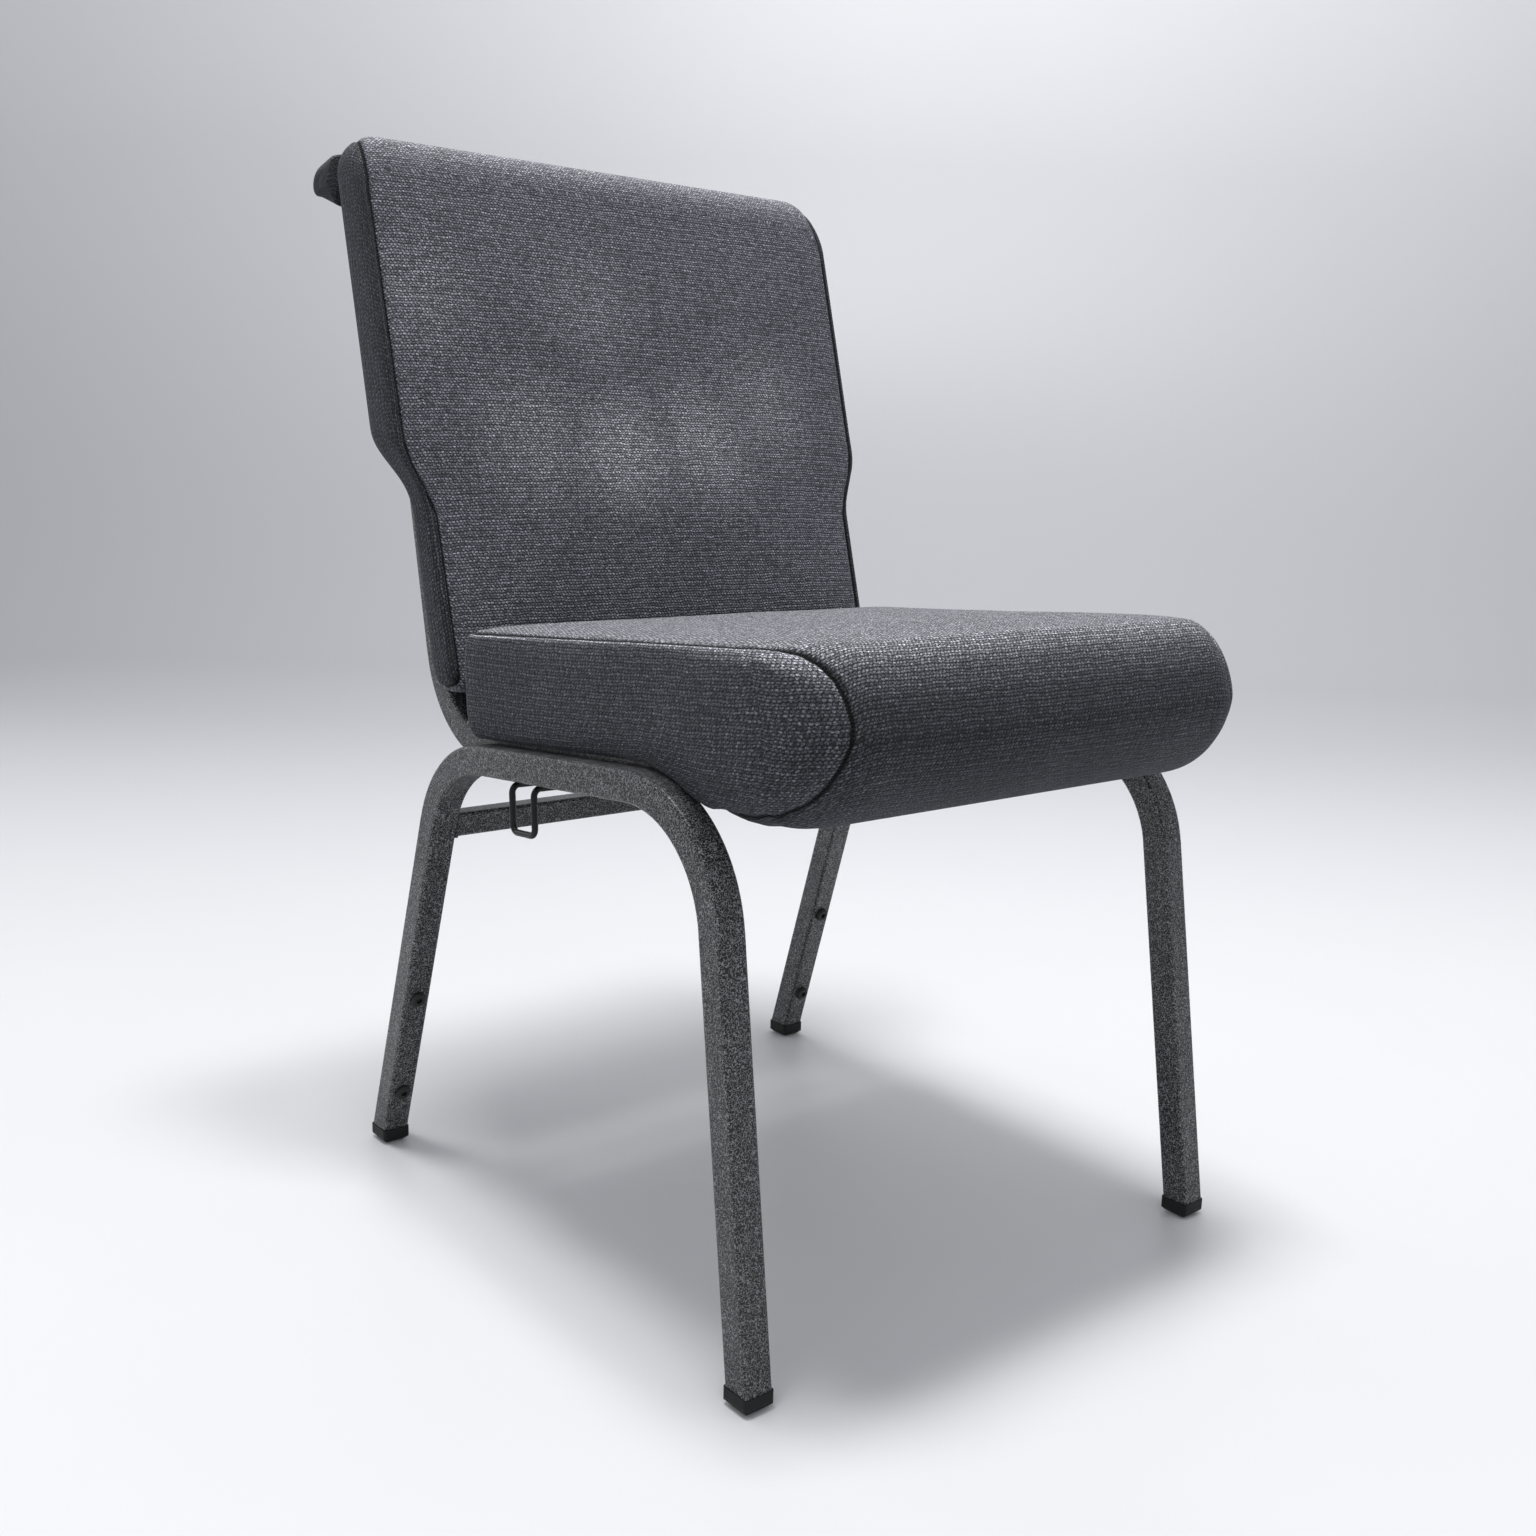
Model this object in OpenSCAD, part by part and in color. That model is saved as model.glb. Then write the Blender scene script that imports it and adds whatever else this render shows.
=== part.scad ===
// Stacking church chair: two bent square-tube leg loops, two bent back uprights,
// an upholstered seat with a waterfall front and an upholstered back with a rolled top.
// The chair faces -Y, X runs across it, and the floor is z = 0.
// Left and right are the sitter's: right is the -X side.

/* [Frame] */
// Width over the outer faces of the leg loops, at the floor
frame_w = 468; // [430:2:560]
// Depth over the feet at the floor
foot_depth = 525; // [480:1:580]
// Side of the square tube that the loops and uprights are bent from
tube = 22.2; // [19:0.1:26]
// Wall of every frame tube
wall = 1.5; // [1:0.1:2]
// Outer corner radius of the tube
tube_r = 2.6; // [2.2:0.1:4]
// Height of the loop's top face at half the foot depth
rail_h = 377; // [350:1:420]
// Rise of the seat and the rail towards the front, in degrees
seat_angle = 4.4; // [2:0.2:7]
// Lean of the front legs, feet forward, in degrees
front_leg_angle = 8.5; // [3:0.5:10]
// Lean of the rear legs, feet backward, in degrees
rear_leg_angle = 17.1; // [12:0.1:22]
// Lean of the leg loops towards each other, in degrees
leg_splay = 0.8; // [0:0.1:2]
// Centre-line radius of the front bends
front_bend = 90; // [60:2:95]
// Centre-line radius of the rear bends
rear_bend = 88; // [60:2:110]
// Side of the lighter square tube used for the crossbars
bar = 19; // [16:0.5:20]
// Height of the rear legs' crossbar, at its centre
leg_bar_h = 294; // [260:2:310]

/* [Back frame] */
// Depth from the front of the feet to the uprights' front faces, at rail height
upright_y = 429; // [405:1:445]
// Lean of the back, in degrees
back_angle = 13.8; // [10:0.2:18]
// Centre-line radius where an upright bends forward under the seat
upright_bend = 87; // [60:1:95]
// Height of the uprights' foot over the leg loop's rail
foot_lift = 3.5; // [2:0.5:6]
// Depth from the front of the feet to the front crossbar's centre
front_bar_y = 105; // [96:1:120]
// Length of an upright above rail height, along its lean
upright_len = 425; // [400:1:435]

/* [Seat] */
// Width of the seat over its cover, at the rear
seat_w = 442; // [420:1:460]
// Width of the seat over its cover, at the front
seat_front_w = 422; // [400:1:460]
// Depth of the seat along its slope
seat_d = 410; // [380:1:430]
// Thickness of the seat at its side seam
seat_t = 80; // [70:1:95]
// How far the nose of the seat reaches forward of the front feet
seat_overhang = 25; // [10:1:50]
// Corner radius at the front of the seat, seen from above
seat_front_r = 50; // [40:1:80]
// Corner radius at the rear of the seat, seen from above
seat_rear_r = 20; // [14:1:30]
// Depth of the rounded nose
nose_len = 50; // [40:1:60]
// How far the top falls between its rear and its front
seat_fall = 3; // [0:1:12]
// How far the underside falls at the waterfall front
nose_drop = 33; // [20:1:40]
// Crown of the seat over its side seams
seat_crown = 9; // [6:1:20]

/* [Back] */
// Width of the upper back over its cover
back_w = 473; // [446:1:480]
// Width of the lower back, in front of the uprights
back_low_w = 435; // [424:1:440]
// Height of the back cushion's lower edge over the rail, along the lean
back_start = 20; // [10:1:40]
// Height of the back cushion's top over the rail, along the lean
back_end = 460; // [445:1:470]
// Height at which the wide upper back begins to narrow, over the rail
step_top = 228; // [215:1:260]
// Height at which the narrow lower back is reached, over the rail
step_foot = 160; // [140:1:170]
// Thickness in front of the uprights at the lower edge seam
back_t_low = 36; // [30:1:42]
// Thickness in front of the uprights at the upper edge seam
back_t_top = 24; // [20:1:30]
// Crown of the back over its side seams
back_crown = 12; // [5:1:18]
// Height of the rounding along the top edge
top_round = 44; // [34:1:54]
// Reach of the rolled top behind the back
roll_reach = 40; // [36:1:60]
// Thickness of the rolled top at its tip
roll_tip = 27; // [22:1:32]

/* [Upholstery] */
// Thickness of the sewn fabric cover
cover_t = 1.5; // [1:0.1:2]
// Thickness of the seat board
seat_board_t = 12; // [9:0.5:15]
// Thickness of the back board
back_board_t = 10; // [8:0.5:12]
// Thickness of the rear panel
rear_panel_t = 5; // [3:0.5:6]
// Thickness of the dust cloth under the seat
dust_t = 1; // [0.8:0.1:1.5]

/* [Fittings] */
// Height of the foot caps below the tube ends
cap_h = 12.5; // [9:0.5:16]
// Diameter of the stacking bumpers
bumper_d = 13; // [10:0.5:15]
// Height of the upper stacking bumpers
bumper_high = 140; // [120:1:160]
// Height of the lower stacking bumpers
bumper_low = 50; // [42:1:70]
// Wire of the ganging loop and hook
wire_d = 4.8; // [4:0.2:6]
// Inner width of the ganging loop
gang_w = 25.2; // [22:0.2:32]
// Drop of the ganging loop below the rail
gang_drop = 34; // [28:1:42]
// Depth from the front of the feet to the middle of the ganging loop
gang_y = 279.5; // [240:0.5:300]
// Shank diameter of the upholstery screws
screw_d = 6; // [5:0.5:6.5]

/* [Hidden] */

// Overrun of a cut past the face that it leaves
over = 1;
// Facets of small rounds, and of the rounds that are made by formula
$fn = 16;
bend_facets = 60;
corner_steps = 3;
// A bend draws the tube in a little, and its ends run on into the straights by this angle
bend_draw = 0.1;
bend_run = 1;
// Running clearance of plugs and pins, and of soft pieces
fit = 0.25;
soft_gap = 0.3;

// Frame lines, as [depth, height] in the side plane
mid_y = foot_depth / 2;
out_x = frame_w / 2;
// Half width at height z, n tubes in from the outer faces of the sides
function side_x(n, z) = out_x - n * tube / cos(leg_splay) - z * tan(leg_splay);
upright_x = side_x(1.5, rail_h);
rail_dir = [cos(seat_angle), -sin(seat_angle)];
front_dir = [sin(front_leg_angle), cos(front_leg_angle)];
rear_dir = [-sin(rear_leg_angle), cos(rear_leg_angle)];
back_dir = [sin(back_angle), cos(back_angle)];
front_foot = [tube / 2 / cos(front_leg_angle), 0];
rear_foot = [foot_depth - tube / 2 / cos(rear_leg_angle), 0];
rail_mid = [mid_y, rail_h - tube / 2 / cos(seat_angle)];

function cross2(a, b) = a.x * b.y - a.y * b.x;
function meet(p, d, q, e) = p + d * (cross2(q - p, e) / cross2(d, e));
function along(p, d, y) = p + d * ((y - p.x) / d.x);
function lerp(a, b, s) = a + (b - a) * s;
function smooth(s) = let (c = min(1, max(0, s))) c * c * (3 - 2 * c);

loop_path = [front_foot, meet(front_foot, front_dir, rail_mid, rail_dir),
    meet(rail_mid, rail_dir, rear_foot, rear_dir), rear_foot];

// The seat plane: the underside of the cover, foot_lift over the rail
seat_mid = [mid_y, rail_h + foot_lift / cos(seat_angle)];
rest_mid = seat_mid - [0, tube / 2 / cos(seat_angle)];
front_bar = along(rest_mid, rail_dir, front_bar_y);
// The uprights lean with the legs, so that their outer top edges carry the seat
edge_lift = [0, tube * sin(leg_splay)];
upright_base = [upright_y, rail_h] + tube / 2 * [back_dir.y, -back_dir.x];
upright_path = [front_bar + tube / 2 * rail_dir + edge_lift,
    meet(rest_mid + edge_lift, rail_dir, upright_base, back_dir), upright_base + upright_len * back_dir];
leg_bar = meet(rear_foot, rear_dir, [0, leg_bar_h], [1, 0]);

// Seat frame: its origin is the middle of the rear lower edge
nose_top_len = 0.68 * nose_len;
nose_mid = (seat_t - nose_drop) / 2;
seat_origin_y = seat_d * cos(seat_angle) - nose_mid * sin(seat_angle) - seat_overhang;
seat_origin = along(seat_mid, rail_dir, seat_origin_y);
module seat_frame() {
    translate([0, seat_origin.x, seat_origin.y]) rotate([-seat_angle, 0, 0]) rotate([0, 0, 180]) children();
}
// Back frame: x across, y up the uprights from rail height, z forward from their front faces
module back_frame() {
    translate([0, upright_y, rail_h]) rotate([90 - back_angle, 0, 0]) children();
}

// The whole chair stands over the middle of its bounding box
lean_gap = 2 * tube * sin(leg_splay) * sin(back_angle);
back_depth = tube + lean_gap + rear_panel_t;
tip_r = roll_tip / 2;
roll_top = back_end - cover_t;
roll_tip_at = [roll_top - tip_r, -(back_depth + roll_reach - tip_r)];
rearmost = upright_y + roll_tip_at.x * back_dir.x - roll_tip_at.y * back_dir.y + tip_r;
centre_y = (rearmost - seat_overhang) / 2;
module place() { translate([0, -centre_y, 0]) children(); }

// Square tube with rounded corners, as a ring
function corner(c, r, from) =
    [for (i = [0 : corner_steps]) let (a = from + 90 * i / corner_steps) c + r * [cos(a), sin(a)]];
function rounded(w, h, r) = let (a = w / 2 - r, b = h / 2 - r)
    concat(corner([a, b], r, 0), corner([-a, b], r, 90), corner([-a, -b], r, 180), corner([a, -b], r, 270));
module tube_section(side, draw) {
    difference() {
        polygon(rounded(side - draw, side - draw, tube_r));
        square(side - 2 * wall + draw, center = true);
    }
}

// Tube and wire are built like a bent one: each stretch draws itself and hands its end to its children
module section(size, draw) {
    if (size < bar) circle(d = size - draw);
    else tube_section(size, draw);
}
module straight(size, len) {
    linear_extrude(len) section(size, 0);
    translate([0, 0, len]) children();
}
// A bend in the YZ plane, towards +Y where side is 1 and towards -Y where it is -1
module bend(size, r, angle, side) {
    facets = size < bar ? $fn : bend_facets;
    translate([0, side * r, 0]) {
        rotate([90, 0, -90 * side]) rotate([0, 0, -bend_run])
            rotate_extrude(angle = angle + 2 * bend_run, $fn = facets) translate([r, 0]) section(size, bend_draw);
        rotate([-side * angle, 0, 0]) translate([0, -side * r, 0]) children();
    }
}
function turn_of(d, e) = acos(d * e);
function setback(r, d, e) = r * tan(turn_of(d, e) / 2);
// A side's own plane, leaning inward from its outer face at the floor
module lean(side) {
    translate([side * out_x, 0, 0]) rotate([0, -side * leg_splay, 0]) children();
}
// The space between the sides, n tubes in from their outer faces
module between(n) {
    top = rail_h + upright_len;
    translate([0, 2 * foot_depth, 0]) rotate([90, 0, 0]) linear_extrude(3 * foot_depth)
        polygon([[-side_x(n, 0), 0], [side_x(n, 0), 0], [side_x(n, top), top], [-side_x(n, top), top]]);
}
// A crossbar whose ends are cut to the faces of the sides
module cross_tube(n, at, side, turn) {
    intersection() {
        translate([-out_x, at.x, at.y]) rotate([turn, 0, 0]) rotate([0, 90, 0])
            linear_extrude(2 * out_x) tube_section(side, 0);
        between(n);
    }
}

// Frame
bumper_heights = [bumper_low, bumper_high];
bumper_hole_d = 0.5 * bumper_d;
bumper_head_t = 0.3 * bumper_d;
function rear_face(h) = meet(rear_foot - [tube / 2 / cos(rear_leg_angle), 0], rear_dir, [0, h], [1, 0]);
module at_bumpers() {
    for (h = bumper_heights) let (p = rear_face(h))
        translate([0, p.x, p.y]) rotate([90 + rear_leg_angle, 0, 0]) children();
}
module leg_bends() {
    down = -rear_dir;
    front_trim = setback(front_bend, front_dir, rail_dir);
    rear_trim = setback(rear_bend, rail_dir, down);
    translate([0, front_foot.x, front_foot.y]) rotate([-front_leg_angle, 0, 0])
        straight(tube, norm(loop_path[1] - loop_path[0]) - front_trim)
        bend(tube, front_bend, turn_of(front_dir, rail_dir), 1)
        straight(tube, norm(loop_path[2] - loop_path[1]) - front_trim - rear_trim)
        bend(tube, rear_bend, turn_of(rail_dir, down), 1)
        straight(tube, norm(loop_path[3] - loop_path[2]) - rear_trim);
}
module leg_loop(side) {
    color([0.27, 0.28, 0.3]) place() difference() {
        lean(side) translate([-side * tube / 2, 0, 0]) leg_bends();
        translate([-frame_w, -foot_depth, cap_h - foot_depth]) cube([2 * frame_w, 3 * foot_depth, foot_depth]);
        lean(side) translate([-side * tube / 2, 0, 0]) at_bumpers()
            translate([0, 0, -wall - over]) cylinder(d = bumper_hole_d, h = wall + 2 * over);
    }
}
seat_screw_at = [0.22 * seat_d, 0.5 * seat_d];
seat_screw_x = upright_x - 0.1 * tube;
screw_hole_d = screw_d + 0.6;
module at_seat_screws(sides) {
    seat_frame() for (s = sides, b = seat_screw_at) translate([s * seat_screw_x, b, 0]) children();
}
module back_upright(side) {
    trim = setback(upright_bend, rail_dir, back_dir);
    color([0.27, 0.28, 0.3]) place() difference() {
        lean(side) translate([-1.5 * side * tube, upright_path[0].x, upright_path[0].y])
            rotate([-90 - seat_angle, 0, 0])
            straight(tube, norm(upright_path[1] - upright_path[0]) - trim)
            bend(tube, upright_bend, turn_of(rail_dir, back_dir), -1)
            straight(tube, norm(upright_path[2] - upright_path[1]) - trim);
        at_seat_screws([-side]) translate([0, 0, -tube - over]) cylinder(d = screw_hole_d, h = tube + 2 * over);
    }
}
module front_seat_crossbar() { color([0.27, 0.28, 0.3]) place() cross_tube(1, front_bar, tube, -seat_angle); }
module rear_leg_crossbar() { color([0.27, 0.28, 0.3]) place() cross_tube(1, leg_bar, bar, 0); }

back_bars = [back_start + 0.12 * (back_end - back_start), back_end - 0.16 * (back_end - back_start)];
back_screw_x = 0.26 * back_w;
module at_back_screws(rows) {
    for (s = rows, x = [-1, 1]) translate([x * back_screw_x, s, 0]) children();
}
module back_crossbar(row) {
    at = [upright_y, rail_h] + row * back_dir + bar / 2 * [back_dir.y, -back_dir.x];
    color([0.27, 0.28, 0.3]) place() difference() {
        cross_tube(2, at, bar, -back_angle);
        back_frame() at_back_screws([row]) translate([0, 0, -bar - over])
            cylinder(d = screw_hole_d, h = bar + 2 * over);
    }
}

// Caps, bumpers and plugs
cap_rim = 0.8;
cap_round_share = 0.5;
plug_len = 0.8 * tube;
hollow = tube - 2 * wall - 2 * fit;
module cap_outline(w) {
    r = cap_round_share * cap_h;
    polygon(concat([[w / 2, cap_h], [-w / 2, cap_h]], corner([r - w / 2, r], r, 180), corner([w / 2 - r, r], r, 270)));
}
module foot_cap(side, foot, dir) {
    at = foot + dir * (cap_h / dir.y);
    depth = tube / dir.y + 2 * cap_rim;
    width = tube + 2 * cap_rim;
    color([0.08, 0.08, 0.09]) place() {
        translate([side * side_x(0.5, cap_h), at.x, 0]) intersection() {
            translate([0, depth / 2, 0]) rotate([90, 0, 0]) linear_extrude(depth) cap_outline(width);
            translate([-width / 2, 0, 0]) rotate([90, 0, 90]) linear_extrude(width) cap_outline(depth);
            linear_extrude(cap_h) polygon(rounded(width, depth, tube_r));
        }
        difference() {
            lean(side) translate([-side * tube / 2, at.x, cap_h]) rotate([atan2(dir.y, dir.x) - 90, 0, 0])
                translate([0, 0, -tube / 2]) linear_extrude(plug_len + tube / 2) square(hollow, center = true);
            translate([-frame_w, -foot_depth, cap_h / 2 - foot_depth])
                cube([2 * frame_w, 3 * foot_depth, foot_depth]);
        }
    }
}
module stacking_bumpers(side) {
    dome = 0.35 * bumper_head_t;
    color([0.06, 0.06, 0.07]) place() lean(side) translate([-side * tube / 2, 0, 0]) at_bumpers() {
        translate([0, 0, -wall - bumper_head_t]) cylinder(d = bumper_hole_d - 2 * fit, h = wall + bumper_head_t + fit);
        rotate_extrude() polygon([[0, 0], [bumper_d / 2, 0], [bumper_d / 2, bumper_head_t - dome],
            [bumper_d / 2 - dome, bumper_head_t], [bumper_d / 5, bumper_head_t], [bumper_d / 5, dome], [0, dome]]);
    }
}
module upright_end_plugs() {
    cap_t = 2 * wall;
    color([0.08, 0.08, 0.09]) place() for (s = [-1, 1])
        lean(s) translate([-1.5 * s * tube, upright_path[2].x, upright_path[2].y]) rotate([-back_angle, 0, 0]) {
            linear_extrude(cap_t) polygon(rounded(tube, tube, tube_r));
            translate([0, 0, -plug_len]) linear_extrude(plug_len + over) square(hollow, center = true);
        }
}

// Ganging wire under the rails: an open loop on the right side, a hook for it on the left
wire_r = wire_d / 2;
wire_bend = 1.2 * wire_d;
wire_in = tube;
function under_rail(y) = rail_mid + rail_dir * ((y - mid_y) / rail_dir.x) - [0, (tube / 2 + wire_r) / cos(seat_angle)];
// A wire U, made from its middle out: a bar along the rail, legs up by drop, and arms in from the side
module wire_u(span, reach, drop) {
    r = wire_bend;
    for (s = [-1, 1])
        translate([-reach, 0, -drop]) rotate([-90 * s, 0, 0])
            straight(wire_d, span / 2 - r)
            bend(wire_d, r, 90, -s)
            straight(wire_d, drop - 2 * r)
            rotate([0, 0, -90])
            bend(wire_d, r, 90, 1)
            straight(wire_d, wire_in + reach - r);
}
module at_gang(side) {
    p = under_rail(gang_y);
    place() lean(side) translate([-side * wire_r, p.x, p.y]) rotate([-seat_angle, 0, 0]) children();
}
module ganging_loop() {
    color([0.05, 0.05, 0.06]) at_gang(-1) wire_u(gang_w + wire_d, 0, gang_drop);
}
module ganging_hook() {
    color([0.05, 0.05, 0.06]) at_gang(1) mirror([1, 0, 0])
        wire_u(gang_w - 3 * wire_d / 2, wire_d, gang_drop - wire_d);
}

// Cushions. A cushion is a list of its length, corner radii, side stations, half width, lower and upper
// faces, edge rounding, nose lengths and power, crown and hem, and its surface is a stack of closed rings.
LEN = 0; NEAR_R = 1; FAR_R = 2; STATIONS = 3; HALF = 4; LOW = 5; HIGH = 6; EDGE = 7; NOSE_UP = 8;
NOSE_LOW = 9; NOSE_POWER = 10; CROWN = 11; HEM = 12; HEM_W = 13; HEM_END = 14; UNDER = 15; EDGE_LOW = 16; LOW_POWER = 17;
near_steps = 2;
far_steps = 4;
side_power = 4;
edge_shares = [0, 0.5];
function outline(c, t) =
    let (far = c[LEN] - t, rn = c[NEAR_R] - t, rf = c[FAR_R] - t, xn = c[HALF](0) - t, xf = c[HALF](c[LEN]) - t,
        half = concat(
            [for (s = edge_shares) [s * (xn - rn), t]],
            [for (i = [0 : near_steps]) let (a = 90 * i / near_steps) [xn - rn + rn * sin(a), t + rn - rn * cos(a)]],
            [for (s = c[STATIONS]) let (b = lerp(t + rn, far - rf, s)) [c[HALF](b) - t, b]],
            [for (i = [0 : far_steps]) let (a = 90 * i / far_steps) [xf - rf + rf * cos(a), far - rf + rf * sin(a)]],
            [for (i = [len(edge_shares) - 1 : -1 : 0]) [edge_shares[i] * (xf - rf), far]]))
    concat(half, [for (i = [len(half) - 2 : -1 : 1]) [-half[i].x, half[i].y]]);
function round_in(k, power) = 1 - pow(1 - pow(min(1, abs(k)), power), 1 / power);
function middle(c, t, b) = (c[LOW](b) + c[HIGH](b)) / 2;
function half_height(c, t, b) = (c[HIGH](b) - c[LOW](b)) / 2 - t;
function shrink(c, t, p, k) =
    let (sx = k > 0 ? (c[EDGE] - t) * round_in(k, side_power) : (c[EDGE_LOW](p.y) - t) * round_in(k, c[LOW_POWER]),
        sf = ((k > 0 ? c[NOSE_UP] : c[NOSE_LOW]) - t) * round_in(k, c[NOSE_POWER]))
    [p.x * (1 - sx / (c[HALF](p.y) - t)), t + sx + (p.y - t) * (1 - (sx + sf) / (c[LEN] - 2 * t))];
// The ring at height share k of the side wall, from -1 at its foot to 1 at its top
function ring(c, t, k) = [for (p = outline(c, t)) let (q = shrink(c, t, p, k))
    [q.x, q.y, middle(c, t, q.y) + k * half_height(c, t, q.y)]];
// A ring on the crowned face, share s of the way to its middle
function top_ring(c, t, s) = let (m = c[LEN] / 2) [for (p = ring(c, t, 1)) let (b = lerp(p.y, m, s))
    [p.x * (1 - s), b, c[HIGH](b) - t + c[CROWN] * (1 - pow(1 - s, 2))]];
// A ring under the cushion, share s of the way to the free edge of its cover
function under_ring(c, t, s) = let (n = c[EDGE_LOW](0), f = c[LEN] - c[NOSE_LOW])
    [for (p = ring(c, t, -1)) let (e = lerp(n + c[HEM_W], c[HEM_END], (p.y - n) / (f - n)), b = lerp(p.y, e, s))
        [p.x * lerp(1, c[HEM](e) / (c[HALF](p.y) - c[EDGE_LOW](p.y)), s), b, c[LOW](b) + t]];
function plan(r) = [for (p = r) [p.x, p.y]];

// A closed solid from rings that start and end in a point. Its facets mirror from side to side, and
// from ring number turn on they match those of the rings before
module ring_solid(rings, first, last, turn = undef) {
    n = len(rings[0]);
    m = len(rings);
    points = concat([first], [for (r = rings) each r], [last]);
    faces = concat(
        [for (i = [0 : n - 1]) [0, 1 + (i + 1) % n, 1 + i]],
        [for (j = [0 : m - 2], i = [0 : n - 1]) let (a = 1 + j * n, b = a + n, k = (i + 1) % n)
            each (i >= n / 2) != (j >= (is_undef(turn) ? m : turn))
                ? [[a + i, a + k, b + i], [a + k, b + k, b + i]] : [[a + i, b + k, b + i], [a + i, a + k, b + k]]],
        [for (i = [0 : n - 1]) let (a = 1 + (m - 1) * n) [a + i, a + (i + 1) % n, m * n + 1]]);
    polyhedron(points, faces, convexity = 6);
}
top_shares = [0.8, 0.5, 0.25, 0.1];
wall_shares = [1, 0.96, 0.84, 0.62, 0.3, -0.1, -0.5, -0.8, -0.95, -1];
inner_top_shares = [0.8, 0.4, 0.1];
inner_wall_shares = [1, 0.84, 0.4, -0.1, -0.5, -0.8, -1];
function peak(c, t) = [0, c[LEN] / 2, c[HIGH](c[LEN] / 2) - t + c[CROWN]];
function skin(c, t, tops, walls) = concat([for (s = tops) top_ring(c, t, s)], [for (k = walls) ring(c, t, k)]);
function backward(r) = [for (i = [len(r) - 1 : -1 : 0]) r[i]];
function under(c, t) = [for (s = c[UNDER]) under_ring(c, t, s)];
module cushion_cover(c) {
    outer = concat(skin(c, 0, top_shares, wall_shares), under(c, 0));
    inner = concat(skin(c, cover_t, inner_top_shares, inner_wall_shares), under(c, cover_t));
    ring_solid(concat(outer, backward(inner)), peak(c, 0), peak(c, cover_t), len(outer));
}
// All that a cover holds
module filling(c) {
    t = cover_t + soft_gap;
    rings = concat(skin(c, t, inner_top_shares, inner_wall_shares), under(c, t));
    ring_solid(rings, peak(c, t), [0, c[LEN] / 2, c[LOW](c[LEN] / 2) + t]);
}

// Seat
edge_r = 12;
seat_hem = 0.03 * seat_w / 2;
bar_clear = tube;
nose_start = (seat_origin - front_bar) * rail_dir + tube / 2 + bar_clear;
nose_end = seat_d - nose_len;
function seat_half(b) = lerp(seat_w, seat_front_w, b / seat_d) / 2;
seat = [seat_d, seat_rear_r, seat_front_r, [0.2, 0.45, 0.7, 0.96],
    function (b) seat_half(b),
    function (b) -nose_drop * smooth((b - nose_start) / (nose_end - nose_start)),
    function (b) seat_t - seat_fall * b / seat_d,
    edge_r, nose_top_len, nose_len, 1.6, seat_crown,
    function (b) seat_half(b) - edge_r - seat_hem, seat_hem, nose_start, [0.25, 0.5, 0.75, 1],
    function (b) edge_r, side_power];
board_edge = 1.2;
seat_board_top = cover_t + seat_board_t;
function pinch(r, edge) = let (ys = [for (p = r) p.y], lo = min(ys), hi = max(ys), xs = max([for (p = r) p.x]))
    [for (p = r) [p.x * (1 - edge / xs), lerp(lo + edge, hi - edge, (p.y - lo) / (hi - lo)), p.z]];
module seat_board_plan(gap) {
    intersection() {
        polygon(plan(pinch(ring(seat, 0, -1), board_edge - gap)));
        translate([-seat_w, 0]) square([2 * seat_w, nose_start + gap]);
    }
}
module seat_cover() { color([0.3, 0.31, 0.34]) place() seat_frame() cushion_cover(seat); }
module seat_foam() {
    color([0.85, 0.8, 0.6]) place() seat_frame() difference() {
        filling(seat);
        translate([0, 0, -seat_t]) linear_extrude(seat_t + seat_board_top + soft_gap) seat_board_plan(soft_gap);
    }
}
nut_d = 1.6 * screw_d;
nut_flange_t = 0.25 * screw_d;
nut_flange_d = 1.5 * nut_d;
module seat_board() {
    color([0.72, 0.58, 0.4]) place() difference() {
        seat_frame() translate([0, 0, cover_t]) linear_extrude(seat_board_t) seat_board_plan(0);
        at_seat_screws([-1, 1]) {
            translate([0, 0, -over]) cylinder(d = nut_d, h = seat_board_top + 2 * over);
            translate([0, 0, seat_board_top - nut_flange_t]) cylinder(d = nut_flange_d, h = nut_flange_t + over);
        }
    }
}
module seat_dust_cloth() {
    color([0.1, 0.1, 0.1]) place() seat_frame() translate([0, 0, cover_t - dust_t]) linear_extrude(dust_t)
        polygon(plan(pinch(under_ring(seat, 0, 1), 2 * screw_d)));
}
// A tee nut: a barrel with a flange on top, pressed into a board whose face is at z = top
module tee_nut(top, depth) {
    difference() {
        union() {
            translate([0, 0, top - depth + fit]) cylinder(d = nut_d - 2 * fit, h = depth - fit - over / 2);
            translate([0, 0, top - nut_flange_t]) cylinder(d = nut_flange_d - 2 * fit, h = nut_flange_t);
        }
        translate([0, 0, top - depth - over]) cylinder(d = screw_d + 2 * fit, h = depth + 2 * over);
    }
}
// A pan head screw whose head's seat is at z = under and whose tip is at z = tip
module pan_screw(under, tip) {
    head_t = 0.45 * screw_d;
    head_r = screw_d;
    rotate_extrude() polygon([[0, under - head_t], [0.6 * head_r, under - head_t], [head_r, under - head_t / 2],
        [head_r, under], [screw_d / 2, under], [screw_d / 2, tip], [0, tip]]);
}
module seat_screws() {
    color([0.5, 0.5, 0.52]) place() at_seat_screws([-1, 1])
        pan_screw(-tube - (1.6 * tube + 2 * screw_d) * tan(leg_splay) + edge_lift.y, seat_board_top - nut_flange_t / 2);
}
module seat_tee_nuts() {
    color([0.6, 0.6, 0.62]) place() at_seat_screws([-1, 1]) tee_nut(seat_board_top, seat_board_t - fit);
}

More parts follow.
